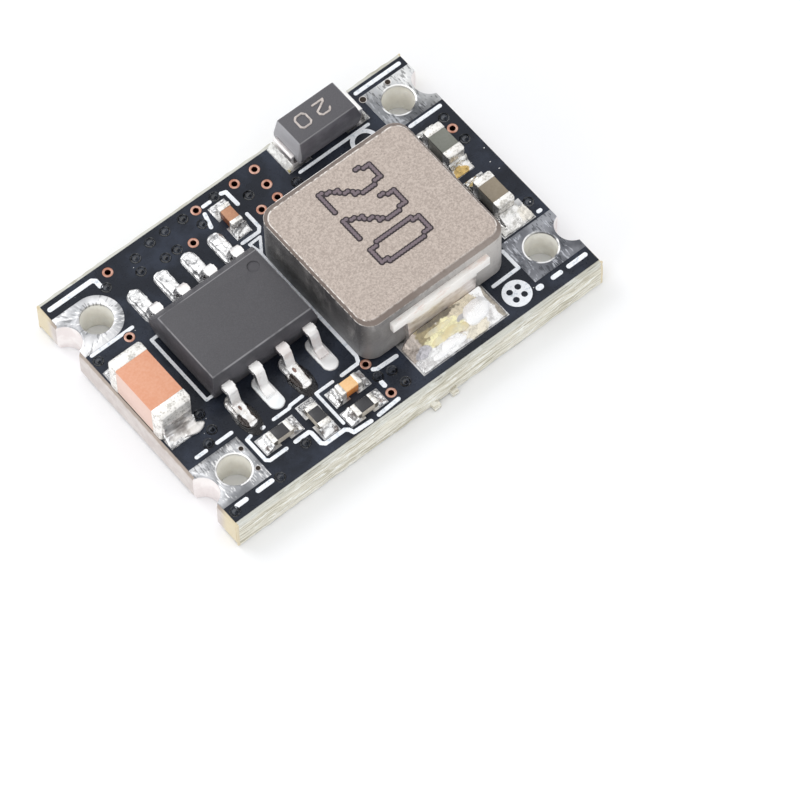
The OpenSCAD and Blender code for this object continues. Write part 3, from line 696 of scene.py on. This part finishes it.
frontLandLow, frontLandHigh = sizeOf("edge_terminal_left_front")
rearLandLow, rearLandHigh = sizeOf("edge_terminal_right_rear")
landTop = frontLandHigh[2]
places = [(frontLandHigh[0] + x, frontLandLow[1] + y, wide) for x, y, wide in viaLook["frontMouths"]]
places += [(rearLandLow[0] + x, rearLandHigh[1] + y, wide) for x, y, wide in viaLook["rearMouths"]]
mouths = []
for along, across, wide in places:
    bpy.ops.object.select_all(action="DESELECT")
    bpy.ops.mesh.primitive_cylinder_add(
        vertices=20, radius=wide * mm, depth=viaLook["mouthThick"] * mm,
        location=(along * mm, across * mm, (landTop - 0.001) * mm))
    mouth = bpy.context.object
    settle(mouth)
    pick(mouth, lambda p: p.z > landTop)
    bpy.ops.mesh.select_mode(type="FACE")
    bpy.ops.mesh.inset(thickness=wide * 0.25 * mm)
    bpy.ops.transform.translate(value=(0, 0, -viaLook["mouthSunk"] * mm))
    bpy.ops.object.mode_set(mode="OBJECT")
    mouths.append(mouth)
landVias = merge("landVias", *mouths)
smooth(landVias, 40)
look, shader, place = newLook("viaMouth", Metallic=0.6)
soot = place.noise(8.0, 3)
# painted shade: the sunk middle of each mouth drawn dark for the hole
depth = (landTop + 0.012 - place.axes()[2]).rise(0.0, 0.005)
skin = depth.mix(soot.mix(viaLook["mouth"], viaLook["mouthPale"]), viaLook["mouthPaintedShade"])
join(look, shader, Base_Color=skin, Roughness=0.4 + soot * 0.2)
keep(landVias, look, "tin_plate")
print("covered vias:", len(covered))

# controller chip; its sides darker than its top as painted shade, line a painted highlight along the
# top edges and endLine painted light on an end; lineIn is how far that highlight lies in from the left,
# front, right and rear
chipLook = {"case": (74, 73, 77), "casePale": (84, 83, 87), "caseSide": (52, 51, 55),
            "caseSidePale": (66, 65, 69), "line": (150, 149, 152), "endLine": (176, 176, 180),
            "lineIn": (0.15, 0.19, 0.15, 0.45), "edge": 0.03, "legEdge": 0.018, "coatUnder": 0.1,
            "coatEdge": 0.012, "melt": (0.024, 4, 0.24, 0.1, 0.035),
            "padFirst": 0.55, "padStep": 1.27, "touched": (0, 2),
            "burns": [((-0.25, -2.85), (0.12, 0.44), (52, 42, 38), 0.15),
                      ((0.25, -2.6), (0.1, 0.38), (64, 52, 46), 0.15),
                      ((-0.02, -2.42), (0.06, 0.12), (128, 98, 88), 0.4)],
            "bright": (255, 255, 255), "dull": (230, 226, 222), "metal": 0.55,
            "poolAt": -2.74, "poolSize": (0.46, 0.86, 0.05), "poolLump": 0.35, "poolRise": 0.09}


# a share that is 1 on the outline of a rectangle and 0 away from it
def outline(x, y, low, high, width):
    across = abs(x - (low[0] + high[0]) / 2) - (high[0] - low[0]) / 2
    along = abs(y - (low[1] + high[1]) / 2) - (high[1] - low[1]) / 2
    return 1.0 - abs(across.high(along)).rise(width * 0.4, width)


# moulded epoxy: its sides in tones of their own as painted light and shade, a painted highlight along
# its top edges, and painted light on its left end where endPale is given
def epoxySkin(name, node, lineIn, endPale=None, sides=1.2, crown=1.0):
    look, shader, place = newLook(name)
    low, high = sizeOf(node)
    top = high[2]
    low = (low[0] + lineIn[0], low[1] + lineIn[1])
    high = (high[0] - lineIn[2], high[1] - lineIn[3])
    x, y, z = place.axes()
    grain = place.noise(22.0, 4, 0.7)
    smear = place.noise(0.9, 3)
    case, casePale = [[v * crown for v in chipLook[key]] for key in ("case", "casePale")]
    caseSide, caseSidePale = [[v * sides for v in chipLook[key]] for key in ("caseSide", "caseSidePale")]
    face = grain.rise(0.35, 0.75).mix(case, casePale)
    side = smear.rise(0.35, 0.65).mix(caseSide, caseSidePale)
    # painted light and shade: the sides in their own tones below the top
    skin = (z - top).rise(-0.05, -0.015).mix(side, face)
    # painted highlight: a pale line along the top edges
    toneAndGlint = outline(x, y, low, high, 0.035) * (z - top).rise(-0.08, -0.04) * smear.rise(0.3, 0.5)
    skin = (toneAndGlint * 0.75).mix(skin, chipLook["line"])
    # painted light: the left end paler
    if endPale:
        skin = ((low[0] + endPale - x).rise(-0.02, 0.02) * 0.8).mix(skin, chipLook["endLine"])
    return join(look, shader, Base_Color=skin, Roughness=0.42 + smear * 0.2,
                Normal=grain.bump(0.012, 0.6))


chipCase = roundedCopy("chipCase", "chip_body", chipLook["edge"], 2, 25, 25)
keep(chipCase, epoxySkin("chipEpoxy", "chip_body", chipLook["lineIn"]), "mould_compound", "chip_body")
chipLegs = roundedCopy("chipLegs", "chip_leads", chipLook["legEdge"], 1, 35, 30)
keep(chipLegs, solders["leadTin"], "tin_plate", "chip_leads")

# tall joints are melted; the thin coats of the clean pads keep their shape
tall, touched, thin = [], [], []
for part in apart(copyOf("chipJoint", "chip_solder")):
    low, high = reach(part)
    if high[2] - low[2] < chipLook["coatUnder"]:
        thin.append(part)
    elif high[1] < 0:
        touched.append(part)
    else:
        tall.append(part)
for part in tall + touched:
    melt(part, *chipLook["melt"])
chipJoints = merge("chipJoints", *tall)
keep(chipJoints, solders["solderBright"], "solder", "chip_solder")
padFirst = sizeOf("chip_body")[0][0] + chipLook["padFirst"]
padMiddles = [padFirst + count * chipLook["padStep"] for count in chipLook["touched"]]
burns = []
for middle in padMiddles:
    burns += stainsFrom(middle, 0, chipLook["burns"])
handJoints = merge("handJoints", *touched)
keep(handJoints, stainedSolder("handSolder", burns, chipLook["bright"], chipLook["dull"],
                               chipLook["metal"]), "solder", "chip_solder")
chipPads = merge("chipPads", *thin)
roundEdges(chipPads, chipLook["coatEdge"], 2, 40)
smooth(chipPads, 50)
keep(chipPads, solders["padCoat"], "solder", "chip_solder")

# burnt resin round the two hand-touched joints
pools = []
for middle in padMiddles:
    pool = ball("resinPool", (middle, chipLook["poolAt"], boardTop), chipLook["poolSize"])
    lumpy(pool, chipLook["poolLump"], chipLook["poolRise"])
    pools.append(pool)
resinPools = merge("resinPools", *pools)
smooth(resinPools, 60)
keep(resinPools, resins["fluxDark"], "solder")
print("chip done")

# inductor; its number and the dots that stamp it: how far over the top, radius, height, smoothing
# the walls carry painted light and shade: paler to the rear, front and foot, darker towards the top,
# with painted highlights on streaks and on the rims of the bevel
coilLook = {"top": (187, 173, 164), "topPale": (210, 197, 187), "topDark": (156, 143, 134),
            "pit": (118, 106, 100), "side": (64, 62, 63), "sidePale": (114, 112, 112),
            "frontPale": (196, 192, 188), "streakSheen": (200, 196, 192), "drawnDark": (44, 42, 42),
            "foot": (150, 148, 148), "upperShade": (42, 41, 43), "speck": (150, 146, 140),
            "band": (124, 108, 98), "toneAndGlint": (236, 230, 224), "edge": 0.03,
            "ink": (112, 100, 108), "inkPale": (120, 106, 112),
            "inkRim": (34, 26, 31), "inkRimPale": (54, 45, 50),
            "digits": {"number": "220", "corner": (1.42, 1.72), "width": 0.95, "height": 2.3,
                       "gap": 0.5, "step": 0.135},
            "rimDots": {"over": 0.002, "dot": 0.138, "lift": 0.03, "soften": 4},
            "inkDots": {"over": 0.012, "dot": 0.078, "lift": 0.034, "soften": 3}}

coilLow, coilHigh = sizeOf("inductor_body")
midX = (coilLow[0] + coilHigh[0]) / 2
midY = (coilLow[1] + coilHigh[1]) / 2
look, shader, place = newLook("pressedIron", Specular_IOR_Level=0.6)
x, y, z = place.axes()
grain = place.noise(12.0, 5, 0.75)
specks = place.cells(5.5)
cloudy = place.noise(0.5, 3)
crown = grain.rise(0.38, 0.62).mix(coilLook["topDark"], coilLook["topPale"])
crown = (0.25 + cloudy * 0.3).mix(crown, coilLook["top"])
pits = place.noise(13.0, 3, 0.6)
crown = (pits.rise(0.62, 0.7) * 0.6).mix(crown, coilLook["pit"])
smudge = place.stretch(1, 1, 0.5).noise(1.0, 4, 0.6)
# painted light: the side walls paler towards the rear
rearward = (y - midY).rise(-1.0, 3.0)
walls = (smudge * 0.6 + cloudy * 0.25 + rearward * 0.22).rise(0.4, 0.66).mix(
    coilLook["side"], coilLook["sidePale"])
# painted reflection: the front wall paler, more so towards the right
facing = (midY - 2.7 - y).rise(0.0, 0.5)
frontSheen = (smudge * 0.7 + (x - midX).rise(-3.5, 3.2) * 0.5).rise(0.35, 0.85)
walls = (facing * (0.25 + frontSheen * 0.75)).mix(walls, coilLook["frontPale"])
# vertical streaks: the pale ones painted highlights, the dark ones smudges
smudgeAndSheen = place.stretch(1.6, 1.6, 0.8).noise(1.0, 4, 0.65)
walls = (smudgeAndSheen.rise(0.52, 0.7) * 0.3).mix(walls, coilLook["streakSheen"])
walls = (smudgeAndSheen.rise(0.46, 0.32) * 0.35).mix(walls, coilLook["drawnDark"])
# painted light: the walls paler towards the foot
foot = (coilLow[2] + 1.1 - z).rise(-0.6, 1.0)
walls = (foot * 0.42).mix(walls, coilLook["foot"])
# painted shade: the side walls darker towards the top, all but the front
upperShade = (z - coilLow[2] - 1.2).rise(0.0, 0.8) * (1.0 - facing)
walls = (upperShade * 0.42).mix(walls, coilLook["upperShade"])
walls = (1.0 - specks.rise(0.0, 0.14)).mix(walls, coilLook["speck"])
top = coilHigh[2]
walls = ((z - top).rise(-0.15, -0.12) * 0.75).mix(walls, coilLook["band"])
onTop = (z - top).rise(-0.04, -0.02)
skin = onTop.mix(walls, crown)
# painted highlights on the rims above and below the bevel, broken up and dull on the front
rims = (1.0 - abs(z - (top - 0.14)).rise(0.008, 0.026)) + (1.0 - abs(z - (top - 0.03)).rise(0.006, 0.02))
glintBreaks = place.noise(7.0, 3, 0.7).rise(0.4, 0.55)
front = (midY - 2.75 - y).rise(0.0, 0.3)
skin = (rims.low(1.0) * glintBreaks * (1.0 - front * 0.75)).mix(skin, coilLook["toneAndGlint"])
join(look, shader, Base_Color=skin, Roughness=0.3 + onTop * 0.3 + grain * 0.2,
     Normal=(grain + specks * 0.4).bump(0.03, 0.7))
coilBlock = roundedCopy("coilBlock", "inductor_body", coilLook["edge"], 2, 20, 30)
keep(coilBlock, look, "pressed_iron", "inductor_body")

# the pen's way through each digit, across and up as shares of its width and height
strokes = {"0": [(0, .22), (0, .8), (.2, 1), (.8, 1), (1, .8), (1, .2), (.8, 0), (.2, 0), (0, .22)],
           "2": [(0, .78), (.2, 1), (.8, 1), (1, .8), (1, .58), (.12, .16), (0, 0), (1, 0)]}


# a number stamped as a run of overlapping dots, then made one skin
def stampedNumber(name, digits, top, over, dot, lift, soften, upsideDown=False):
    bpy.ops.object.select_all(action="DESELECT")
    bpy.ops.mesh.primitive_cylinder_add(vertices=12, radius=dot * mm, depth=lift * mm)
    seed = bpy.context.object
    settle(seed)
    corner, width, height, step = [digits[key] for key in ("corner", "width", "height", "step")]
    dots = []
    for count, digit in enumerate(digits["number"]):
        run = strokes[digit]
        for (u0, v0), (u1, v1) in zip(run, run[1:]):
            span = math.hypot((u1 - u0) * width, (v1 - v0) * height)
            for k in range(int(span / step) + 1):
                t = k * step / span
                u = round((u0 + (u1 - u0) * t) * width / step) * step
                v = round((v0 + (v1 - v0) * t) * height / step) * step
                u += count * (width + digits["gap"])
                if upsideDown:
                    dots.append((corner[0] - u, corner[1] - v, top + over))
                else:
                    dots.append((corner[0] + v, corner[1] - u, top + over))
    stamp = scatter(name, seed, dict.fromkeys(dots))
    modify(stamp, "REMESH", mode="VOXEL", voxel_size=0.016 * mm)
    if soften:
        modify(stamp, "SMOOTH", factor=0.5, iterations=soften)
    smooth(stamp, 60)
    return stamp


rim = stampedNumber("coilDigitsRim", coilLook["digits"], coilHigh[2], **coilLook["rimDots"])
fill = stampedNumber("coilDigits", coilLook["digits"], coilHigh[2], **coilLook["inkDots"])
keep(rim, mattSkin("inkRim", 6.0, 3, coilLook["inkRim"], coilLook["inkRimPale"], 0.5),
     "mould_compound")
keep(fill, mattSkin("inkFill", 5.0, 3, coilLook["ink"], coilLook["inkPale"], 0.5, 0.3, 0.7),
     "mould_compound")

# the folded strips, with a burr along the front one's upper edge
stripLook = {"tin": (226, 216, 210), "tinPale": (252, 246, 242), "lip": (244, 228, 220),
             "lipPale": (255, 252, 248), "lipTall": 0.62, "edge": 0.03,
             "burrLeft": 0.3, "burrRight": 0.06, "burrNear": 1.16, "burrFar": 1.24, "burrDown": 0.02,
             "burrShake": 0.05}

stripLow, stripHigh = sizeOf("inductor_terminal_front")
look, shader, place = newLook("stripTin")
x, y, z = place.axes()
rubbed = place.stretch(1.2, 3.0, 3.0).noise(1.4, 4, 0.65)
lip = (z - stripHigh[2] + stripLook["lipTall"] + (rubbed - 0.5) * 0.3).rise(0.0, 0.06)
skin = rubbed.rise(0.35, 0.65).mix(stripLook["tin"], stripLook["tinPale"])
skin = lip.mix(skin, rubbed.rise(0.3, 0.5).mix(stripLook["lip"], stripLook["lipPale"]))
join(look, shader, Base_Color=skin, Metallic=0.9 - lip * 0.75, Roughness=0.3 + rubbed * 0.25,
     Normal=rubbed.bump(0.03))
for side in ("front", "rear"):
    node = "inductor_terminal_" + side
    strip = roundedCopy("coilStrip" + side.title(), node, stripLook["edge"], 2, 35, 30)
    keep(strip, look, "tin_plate", node)

burrLow = (stripLow[0] + stripLook["burrLeft"], stripLow[1] + stripLook["burrNear"],
           stripHigh[2] - stripLook["lipTall"])
burrHigh = (stripHigh[0] - stripLook["burrRight"], stripLow[1] + stripLook["burrFar"],
            stripHigh[2] - stripLook["burrDown"])
burr = block("coilStripBurr", burrLow, burrHigh)
cutFiner(burr, [12], stripLook["burrShake"], 0.3, 4)
smooth(burr, 50)
keep(burr, look, "tin_plate")

# the smeared front joint; a stain is its centre, half size, tone and the metal that shows, a lump
# its place and half size, all of them from the joint's near left corner, or the right where named so
jointLook = {
    "stains": [((2.3, 1.15), (1.1, 0.46), (226, 214, 190), 0.35),
               ((1.0, 1.1), (0.9, 0.36), (166, 152, 118), 0.25),
               ((1.7, 1.3), (1.0, 0.14), (120, 110, 92), 0.4),
               ((0.15, 1.1), (0.5, 0.5), (204, 192, 182), 0.5),
               ((2.55, 0.35), (0.75, 0.4), (244, 236, 218), 0.3),
               ((1.6, 0.56), (0.95, 0.32), (150, 126, 94), 0.1),
               ((1.75, 0.78), (1.0, 0.38), (255, 248, 200), 0.0),
               ((2.5, 0.86), (0.24, 0.13), (190, 188, 188), 0.6),
               ((0.5, 0.62), (0.3, 0.22), (204, 202, 208), 0.6),
               ((1.4, 0.3), (0.9, 0.25), (255, 255, 255), 0.2)],
    "rightStains": [((-0.12, 0.75), (0.2, 0.9), (178, 170, 158), 0.5)],
    "bright": (255, 255, 255), "dull": (206, 204, 204), "slopeLeft": 0.5, "slopeRight": -0.3,
    "rightLumps": [((-0.92, 0.8, 0.34), (0.58, 0.48, 0.26)), ((-0.62, 0.98, 0.3), (0.34, 0.34, 0.2)),
                   ((-1.2, 0.62, 0.26), (0.34, 0.3, 0.2))],
    "leftLumps": [((1.05, 0.26, 0.12), (0.5, 0.2, 0.1)), ((1.5, 0.38, 0.18), (0.5, 0.24, 0.1)),
                  ((1.9, 0.3, 0.12), (0.4, 0.2, 0.1))],
    "resin": [((1.3, 0.72, 0.28), (0.5, 0.22, 0.1)), ((1.85, 0.76, 0.31), (0.42, 0.26, 0.1)),
              ((2.35, 0.6, 0.26), (0.3, 0.2, 0.08)), ((1.5, 1.1, 0.42), (0.9, 0.2, 0.08))],
    "melt": (0.03, 6, 0.5, 0.08, 0.02), "meltLumps": (0.028, 6, 0.6, 0.1, 0),
    "meltResin": (0.028, 8, 0.5, 0.12, 0.012)}

frontLow, frontHigh = sizeOf("inductor_solder_front")
rightCorner = (frontHigh[0], frontLow[1], frontLow[2])
stains = stainsFrom(frontLow[0], frontLow[1], jointLook["stains"])
stains += stainsFrom(frontHigh[0], frontLow[1], jointLook["rightStains"])
sheet = copyOf("coilJointFront", "inductor_solder_front")
for end, inward in ((frontLow[0], jointLook["slopeLeft"]), (frontHigh[0], jointLook["slopeRight"])):
    push(sheet, lambda p: abs(p.x - end) < 0.02 and p.z > frontLow[2] + 0.15, inward, 0, 0)
melt(sheet, *jointLook["melt"])
keep(sheet, stainedSolder("frontJoint", stains, jointLook["bright"], jointLook["dull"]),
     "solder", "inductor_solder_front")
for name, corner, group in (("coilBlobRight", rightCorner, "rightLumps"),
                            ("coilBlobLeft", frontLow, "leftLumps")):
    blob = cluster(name, corner, jointLook[group])
    melt(blob, *jointLook["meltLumps"])
    keep(blob, solders["solderWhite"], "solder")
resin = cluster("fluxFront", frontLow, jointLook["resin"])
melt(resin, *jointLook["meltResin"])
keep(resin, resins["fluxYellow"], "solder")
coilJointRear = meltedCopy("coilJointRear", "inductor_solder_rear", *jointLook["melt"])
keep(coilJointRear, solders["solderBright"], "solder", "inductor_solder_rear")
print("inductor done")

# diode, its moulding a little paler than the chip's; its sides and its left end paler still, as painted
# light
diodeLook = {"lineIn": (0.16, 0.07, 0.24, 0.06), "endPale": 0.01, "sides": 1.6, "crown": 1.12,
             "edge": 0.04, "legEdge": 0.025, "mark": (176, 168, 164), "markPale": (216, 206, 200),
             "digits": {"number": "20", "corner": (4.6, 5.5), "width": 0.5, "height": 0.58,
                        "gap": 0.42, "step": 0.025},
             "dots": {"over": 0.002, "dot": 0.04, "lift": 0.07, "soften": 0},
             "stains": [((0.15, 0.75), (0.42, 0.75), (255, 255, 252), 0.15),
                        ((-0.1, 0.02), (0.2, 0.2), (206, 192, 124), 0.2)],
             "rightStains": [((-0.15, 0.4), (0.4, 0.7), (255, 254, 250), 0.2)],
             "bright": (255, 255, 252), "dull": (226, 222, 212), "metal": 0.3,
             "melt": (0.024, 3, 0.3, 0.06, 0.02)}

diodeCase = roundedCopy("diodeCase", "diode_body", diodeLook["edge"], 2, 25, 25)
keep(diodeCase, epoxySkin("diodeEpoxy", "diode_body", diodeLook["lineIn"], diodeLook["endPale"],
                          diodeLook["sides"], diodeLook["crown"]), "mould_compound", "diode_body")
for side in ("left", "right"):
    node = "diode_lead_" + side
    leg = roundedCopy("diodeLeg" + side.title(), node, diodeLook["legEdge"], 2, 35, 30)
    keep(leg, solders["leadTin"], "tin_plate", node)
diodeJoints = meltedCopy("diodeJoints", "diode_solder", *diodeLook["melt"])
jointLow, jointHigh = sizeOf("diode_solder")
stains = stainsFrom(jointLow[0], jointLow[1], diodeLook["stains"])
stains += stainsFrom(jointHigh[0], jointLow[1], diodeLook["rightStains"])
keep(diodeJoints, stainedSolder("diodeJoint", stains, diodeLook["bright"], diodeLook["dull"],
                                diodeLook["metal"]), "solder", "diode_solder")
marks = stampedNumber("diodeDigits", diodeLook["digits"], sizeOf("diode_body")[1][2],
                      **diodeLook["dots"], upsideDown=True)
keep(marks, mattSkin("laserMark", 5.0, 3, diodeLook["mark"], diodeLook["markPale"], 0.5, 0.3, 0.7),
     "white_ink")
print("diode done")

# ceramic capacitors: node, slot, material, tones of face, its pale part and sides, round of the ends;
# the sides' tone is painted light and shade
capLook = {
    "inputCap": ("input_capacitor", "orange_ceramic", "orangeCeramic",
                 (220, 152, 118), (226, 166, 136), (230, 198, 184), 0.15),
    "outputCapRear": ("output_capacitor_rear", "grey_ceramic", "greyCeramic",
                      (116, 118, 108), (126, 128, 120), (150, 148, 140), 0.1),
    "outputCapFront": ("output_capacitor_front", "grey_ceramic", "tanCeramic",
                       (140, 128, 108), (150, 138, 120), (150, 148, 140), 0.1),
    "bootCap": ("boot_capacitor", "orange_ceramic", "brownCeramic",
                (180, 128, 98), (196, 146, 112), (124, 74, 48), 0.06),
    "smallCap": ("small_capacitor", "orange_ceramic", "amberCeramic",
                 (244, 196, 138), (250, 208, 156), (222, 142, 74), 0.06)}


# fired ceramic, its sides in a tone of their own, painted light and shade for how each side faces the
# lamps
def ceramicSkin(name, face, pale, side, top):
    look, shader, place = newLook(name, Coat_Weight=0.15, Coat_Roughness=0.2)
    z = place.axes()[2]
    grain = place.noise(11.0, 4, 0.6)
    warm = place.noise(0.9, 2)
    skin = (grain * 0.6 + warm * 0.4).rise(0.35, 0.65).mix(face, pale)
    # painted light and shade: the sides in their own tone below the top
    return join(look, shader, Base_Color=(z - top).rise(-0.1, -0.03).mix(side, skin),
                Roughness=0.42 + grain * 0.2, Normal=grain.bump(0.01, 0.6))


# dipped silver ends, pitted and speckled
look, shader, place = newLook("silverEnd", Metallic=0.85)
pits = place.cells(10.0)
wash = place.noise(3.0, 4, 0.7)
tone = (wash * 0.9 + pits * 0.3).rise(0.42, 0.66).mix((202, 199, 193), (255, 253, 249))
silver = join(look, shader, Base_Color=tone, Roughness=0.34 + wash * 0.2,
              Normal=(pits * 0.6 + wash).bump(0.02, 0.7))


# caps with soft edges over both ends; the block inside them shows between
def dippedEnds(name, node, edge):
    low, high = sizeOf(node + "_ends")
    axis = longAxis(low, high)
    caps = []
    for part in apart(copyOf(name, node + "_ends")):
        near, far = reach(part)
        bpy.data.objects.remove(part)
        outer = near if near[axis] < low[axis] + 0.01 else far
        cap = block(name, near, far)
        pick(cap, lambda p: abs(p[axis] - outer[axis]) < 0.01)
        bpy.ops.mesh.bevel(offset=edge * mm, segments=4)
        bpy.ops.object.mode_set(mode="OBJECT")
        caps.append(cap)
    ends = merge(name, *caps)
    roundEdges(ends, edge * 0.25, 2, 50)
    smooth(ends, 50)
    return ends


for name, (node, slotName, skinName, face, pale, side, edge) in capLook.items():
    low, high = sizeOf(node + "_ceramic")
    ceramic = ceramicSkin(skinName, face, pale, side, high[2])
    axis = longAxis(low, high)
    low[axis] += edge * 1.3
    high[axis] -= edge * 1.3
    body = block(name + "Body", low, high)
    roundEdges(body, edge * 0.2, 2, 30)
    smooth(body, 30)
    keep(body, ceramic, slotName, node + "_ceramic")
    keep(dippedEnds(name + "Ends", node, edge), silver, "tin_plate", node + "_ends")

# solder drawn up the input capacitor's front end, each step a height and how far it draws back
climbLook = {"out": 0.44, "up": 0.95, "left": 0.1, "right": 0.08, "melt": (0.028, 22, 0.5, 0.1, 0.012),
             "spikeAt": (-0.24, -0.36, 0.1), "spikeSize": (0.46, 0.2, 0.13),
             "steps": [(0.1, 0.12), (0.22, 0.1), (0.34, 0.08), (0.45, 0.06), (0.6, 0.04), (0.8, 0.03)]}

capLow, capHigh = sizeOf("input_capacitor_ends")
climb = block("inputCapClimb", (capLow[0] + climbLook["left"], capLow[1] - climbLook["out"], boardTop),
              (capHigh[0] - climbLook["right"], capLow[1] + 0.05, boardTop + climbLook["up"]))
modify(climb, "SUBSURF", subdivision_type="SIMPLE", levels=4, render_levels=4)
for height, back in climbLook["steps"]:
    push(climb, lambda p: p.z > boardTop + height and p.y < capLow[1], 0, back, 0)
x, y, z = climbLook["spikeAt"]
spike = ball("spike", (capHigh[0] + x, capLow[1] + y, boardTop + z), climbLook["spikeSize"], 3)
climb = merge("inputCapClimb", climb, spike)
melt(climb, *climbLook["melt"])
keep(climb, solders["solderSmooth"], "solder")

# the other joints; the output one is stained, by places on the board and from its corners
outLook = {"stains": [((7.05, 0.24), (0.42, 0.26), (244, 206, 122), 0.1),
                      ((7.1, -0.45), (0.3, 0.16), (206, 184, 124), 0.2),
                      ((7.2, -0.02), (0.5, 0.07), (80, 60, 34), 0.2),
                      ((7.4, 0.02), (0.1, 0.2), (150, 128, 84), 0.3)],
           "rightStains": [((-0.1, 0.35), (0.4, 0.3), (255, 250, 240), 0.3)],
           "leftStains": [((0.1, 1.05), (0.2, 0.2), (222, 190, 150), 0.3)],
           "bright": (255, 254, 252), "dull": (190, 188, 184), "melt": (0.022, 3, 0.22, 0.1, 0.035)}

outLow, outHigh = sizeOf("output_capacitor_solder")
stains = outLook["stains"] + stainsFrom(outHigh[0], outLow[1], outLook["rightStains"])
stains += stainsFrom(outLow[0], outLow[1], outLook["leftStains"])
outJoint = stainedSolder("outputJoint", stains, outLook["bright"], outLook["dull"])
for name, node, finish in (("inputCapJoints", "input_capacitor_solder", solders["solderBright"]),
                           ("outputCapJoints", "output_capacitor_solder", outJoint),
                           ("bootCapJoints", "boot_capacitor_solder", solders["solderLumpy"]),
                           ("smallJoints", "small_part_solder", solders["solderLumpy"])):
    keep(meltedCopy(name, node, *outLook["melt"]), finish, "solder", node)
print("capacitors done")

# resistors; a fillet is the solder drawn up an end face
resistorLook = {"chalk": (214, 208, 198), "chalkDark": (178, 168, 150), "film": (38, 38, 42),
                "filmPale": (54, 54, 58), "filmEdge": 0.012, "endEdge": 0.04,
                "filletWide": 0.28, "filletTall": 0.19, "filletThick": 0.17, "filletUp": 0.07,
                "melt": (0.022, 3, 0.2, 0.12, 0.04)}

look, shader, place = newLook("alumina")
chalk = place.noise(8.0, 3)
alumina = join(look, shader, Base_Color=chalk.mix(resistorLook["chalk"], resistorLook["chalkDark"]),
               Roughness=0.5 + chalk * 0.2, Normal=chalk.bump(0.01))
look, shader, place = newLook("glassFilm", Coat_Weight=0.3, Coat_Roughness=0.2)
film = place.noise(9.0, 3)
overglass = join(look, shader, Base_Color=film.mix(resistorLook["film"], resistorLook["filmPale"]),
                 Roughness=0.35 + film * 0.2, Normal=film.bump(0.008))
resistors = ("left", "middle", "right")
for where in resistors:
    node = "resistor_" + where
    wear(alumina, node + "_substrate")
    cover = roundedCopy("resistorFilm" + where.title(), node + "_overcoat",
                        resistorLook["filmEdge"], 2, 30, 30)
    keep(cover, overglass, "glass_film", node + "_overcoat")
    ends = dippedEnds("resistorEnds" + where.title(), node, resistorLook["endEdge"])
    keep(ends, silver, "tin_plate", node + "_ends")
fillets = []
for where in resistors:
    low, high = sizeOf("resistor_" + where + "_ends")
    axis = longAxis(low, high)
    size = [resistorLook["filletWide"], resistorLook["filletWide"], resistorLook["filletTall"]]
    size[axis] = resistorLook["filletThick"]
    for side in (-1, 1):
        at = [(low[0] + high[0]) / 2, (low[1] + high[1]) / 2, boardTop + resistorLook["filletUp"]]
        at[axis] += side * ((high[axis] - low[axis]) / 2 + 0.02)
        fillets.append(ball("fillet", at, size))
resistorFillets = merge("resistorFillets", *fillets)
melt(resistorFillets, *resistorLook["melt"])
keep(resistorFillets, solders["solderLumpy"], "solder")
print("resistors done")

# dust: grains strewn at random, and some at places of their own
dustLook = {"seed": 5, "count": 34, "size": (0.012, 0.028), "placedSize": 0.035,
            "placed": [(8.49, 0.64), (8.27, 0.02), (8.35, -0.42), (8.3, -2.3), (-6.33, 1.2),
                       (-6.3, -0.6)],
            "dark": (190, 190, 190), "pale": (240, 240, 240)}

random.seed(dustLook["seed"])
spots = [(a, b, dustLook["placedSize"]) for a, b in dustLook["placed"]]
for _ in range(dustLook["count"]):
    spots.append((random.uniform(-halfLength + 0.4, halfLength - 0.4),
                  random.uniform(-halfWidth + 0.3, halfWidth - 0.3), random.uniform(*dustLook["size"])))
grains = [ball("dust", (a, b, boardTop + size * 0.3), (size, size * 0.8, size * 0.5), 1)
          for a, b, size in spots]
dust = merge("dust", *grains)
lumpy(dust, 0.02, 0.008)
keep(dust, mattSkin("paleDust", 20.0, 2, dustLook["dark"], dustLook["pale"], 0.7), "solder_mask")
print("dust laid")
